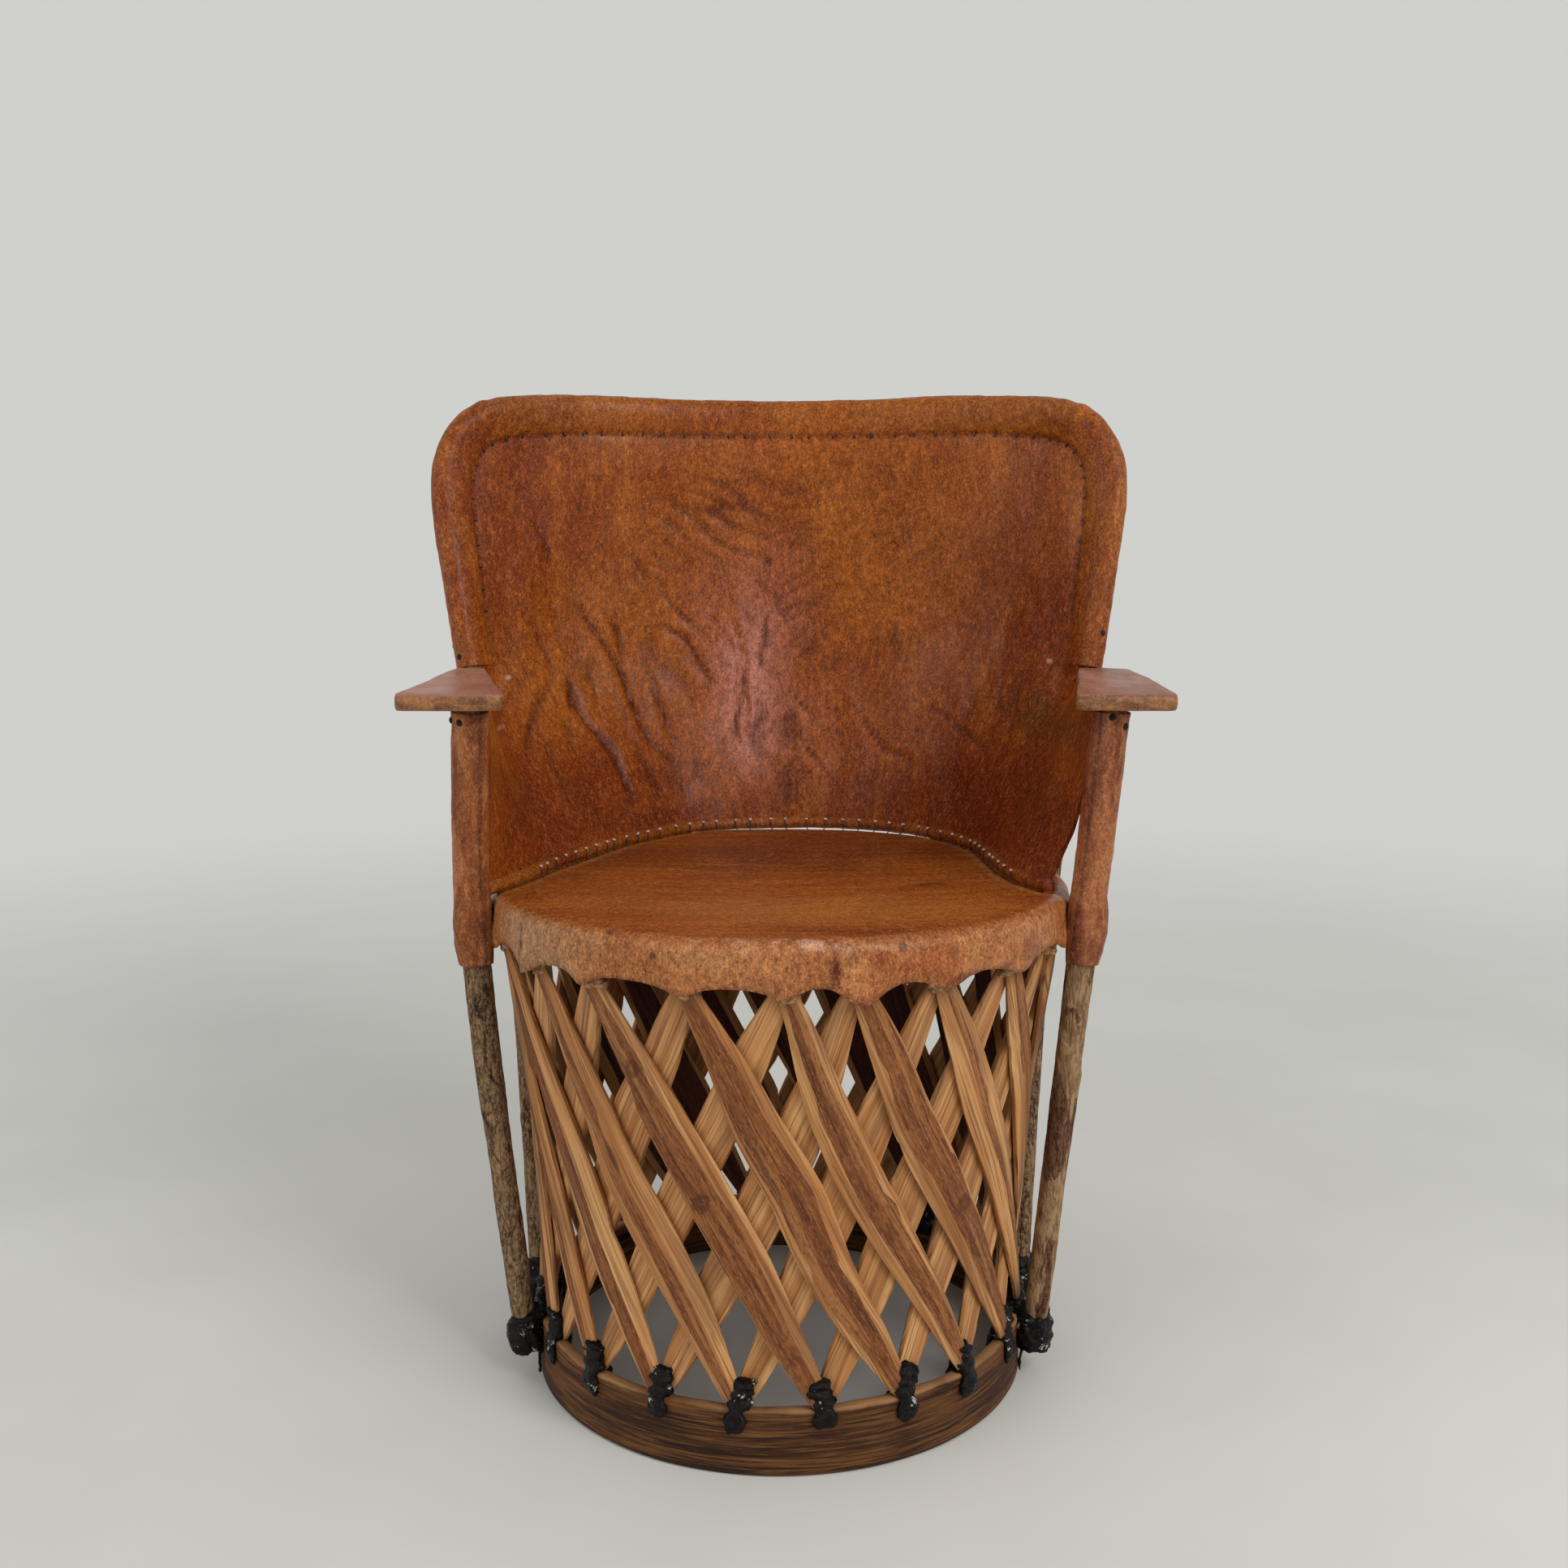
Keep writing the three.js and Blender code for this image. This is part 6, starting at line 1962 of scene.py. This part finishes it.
    def build(self, front: Front, bark: bpy.types.Material) -> None:
        """Models and dresses the back.

        Args:
            front: the front sub-assembly.
            bark: the stick's finish.
        """
        centres = self.stick.by_length(np.linspace(0, 1, 620))
        stick = barked_rod("back_stick_barked", centres, np.full(620, self.stick_radius), 66, 24)
        settle(stick, bark, "barked_pole", "back_stick")
        leather = BackLeather("back_leather", (122, 50, 8), (150, 75, 12), (174, 98, 32), (30, 30, 6),
                              (0, 10, 0), speckle=0.8)
        whole = join("back_leather_stitched", [self.build_sheet(front), self.build_rim(), self.build_hem()])
        shade(whole, 50)
        settle(whole, leather.material(), "back_leather", "back_leather")
        dark = Thread("seam_thread", (52, 26, 16), (92, 52, 32)).material()
        pale = Thread("lacing_thread", (176, 140, 116), (232, 212, 194)).material()
        self.stitches(dark)
        self.lacing(pale, dark)
        self.nails()
        dress(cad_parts["back_hem_rod"], bpy.data.materials["hoop_wood"])


@dataclass
class Studio:
    """Floor, light and camera."""

    camera_place: tuple = (-0.0027, -1.3996, 0.716)
    pitch: float = 7.91
    yaw: float = 0.27
    lens: float = 36.06
    fade_from: float = 0.9
    fade_to: float = 3.4
    backdrop: Triple = (208, 208, 204)

    def floor(self) -> None:
        """Lays the pale floor, which fades into the background far from the chair."""
        bpy.ops.object.select_all(action="DESELECT")
        bpy.ops.mesh.primitive_plane_add(size=30, location=(0, 0, -0.0005))
        floor = bpy.context.object
        floor.name = "floor"
        maker = NodeMaker("floor_paint")
        colour = maker.mix(maker.noise(2.2, 3).step(0.3, 0.7), (224, 222, 214), (230, 228, 220))
        away = maker.vector("LENGTH", maker.place((1, 1, 0)), output=1)
        maker.make_output(maker.make("MixShader", inputs={
            0: away.step(self.fade_from, self.fade_to),
            1: maker.make("BsdfPrincipled", inputs={
                "Base Color": colour, "Roughness": 0.75, "Specular IOR Level": 0.3}),
            2: maker.make("BsdfTransparent")}))
        dress(floor, maker.material)

    def lamp(self, name: str, place: Triple, aim: Triple, size: float, power: float) -> None:
        """Hangs one soft square lamp."""
        light = bpy.data.lights.new(name, "AREA")
        light.shape, light.size, light.energy = "SQUARE", size, power
        lamp = bpy.data.objects.new(name, light)
        bpy.context.scene.collection.objects.link(lamp)
        lamp.location = place
        x, y, z = np.array(aim, float) - np.array(place, float)
        lamp.rotation_euler = (math.atan2(math.hypot(x, y), -z), 0, math.atan2(-x, y))

    def world(self) -> None:
        """Sets the soft light from all round, and the pale background that camera and gloss see."""
        world = bpy.data.worlds.new("studio")
        bpy.context.scene.world = world
        world.use_nodes = True
        nodes, link = world.node_tree.nodes, world.node_tree.links.new
        nodes.clear()
        mixed = nodes.new("ShaderNodeMixShader")
        for socket, colour, strength in (
            (1, (0.95, 0.975, 1.0, 1.0), 0.55), (2, paint(*self.backdrop), 1.0),
        ):
            background = nodes.new("ShaderNodeBackground")
            background.inputs["Color"].default_value = colour
            background.inputs["Strength"].default_value = strength
            link(background.outputs[0], mixed.inputs[socket])
        ray = nodes.new("ShaderNodeLightPath").outputs
        share = ray["Is Camera Ray"]
        for other in ("Is Glossy Ray", "Is Transmission Ray"):
            either = nodes.new("ShaderNodeMath")
            either.operation = "MAXIMUM"
            link(share, either.inputs[0])
            link(ray[other], either.inputs[1])
            share = either.outputs[0]
        link(share, mixed.inputs[0])
        link(mixed.outputs[0], nodes.new("ShaderNodeOutputWorld").inputs["Surface"])

    def build(self) -> None:
        """Sets the studio up."""
        scene = bpy.context.scene
        scene.view_settings.view_transform = "Standard"
        self.floor()
        self.world()
        self.lamp("key", (1.9, -2.1, 2.3), (0, 0, 0.5), 1.6, 46)
        self.lamp("fill", (-2.4, -1.6, 1.5), (0, 0, 0.45), 2.0, 16)
        camera = bpy.data.cameras.new("camera")
        camera.lens, camera.sensor_width, camera.sensor_height = self.lens, 36.0, 36.0
        holder = bpy.data.objects.new("camera", camera)
        scene.collection.objects.link(holder)
        holder.location = self.camera_place
        holder.rotation_euler = (math.radians(90 - self.pitch), 0, math.radians(-self.yaw))
        scene.camera = holder


def main() -> None:
    """Builds the studio and the chair's sub-assemblies in order."""
    logging.basicConfig(level=logging.INFO, format="%(name)s: %(message)s")
    Studio().build()
    bark = Bark("pole_bark").material()
    drum = Drum()
    drum.build()
    front, back = Front(), Back()
    Seat().build(drum, back.hem)
    front.build(back.leg_at, bark)
    back.build(front, bark)


if __name__ == "__main__":
    main()
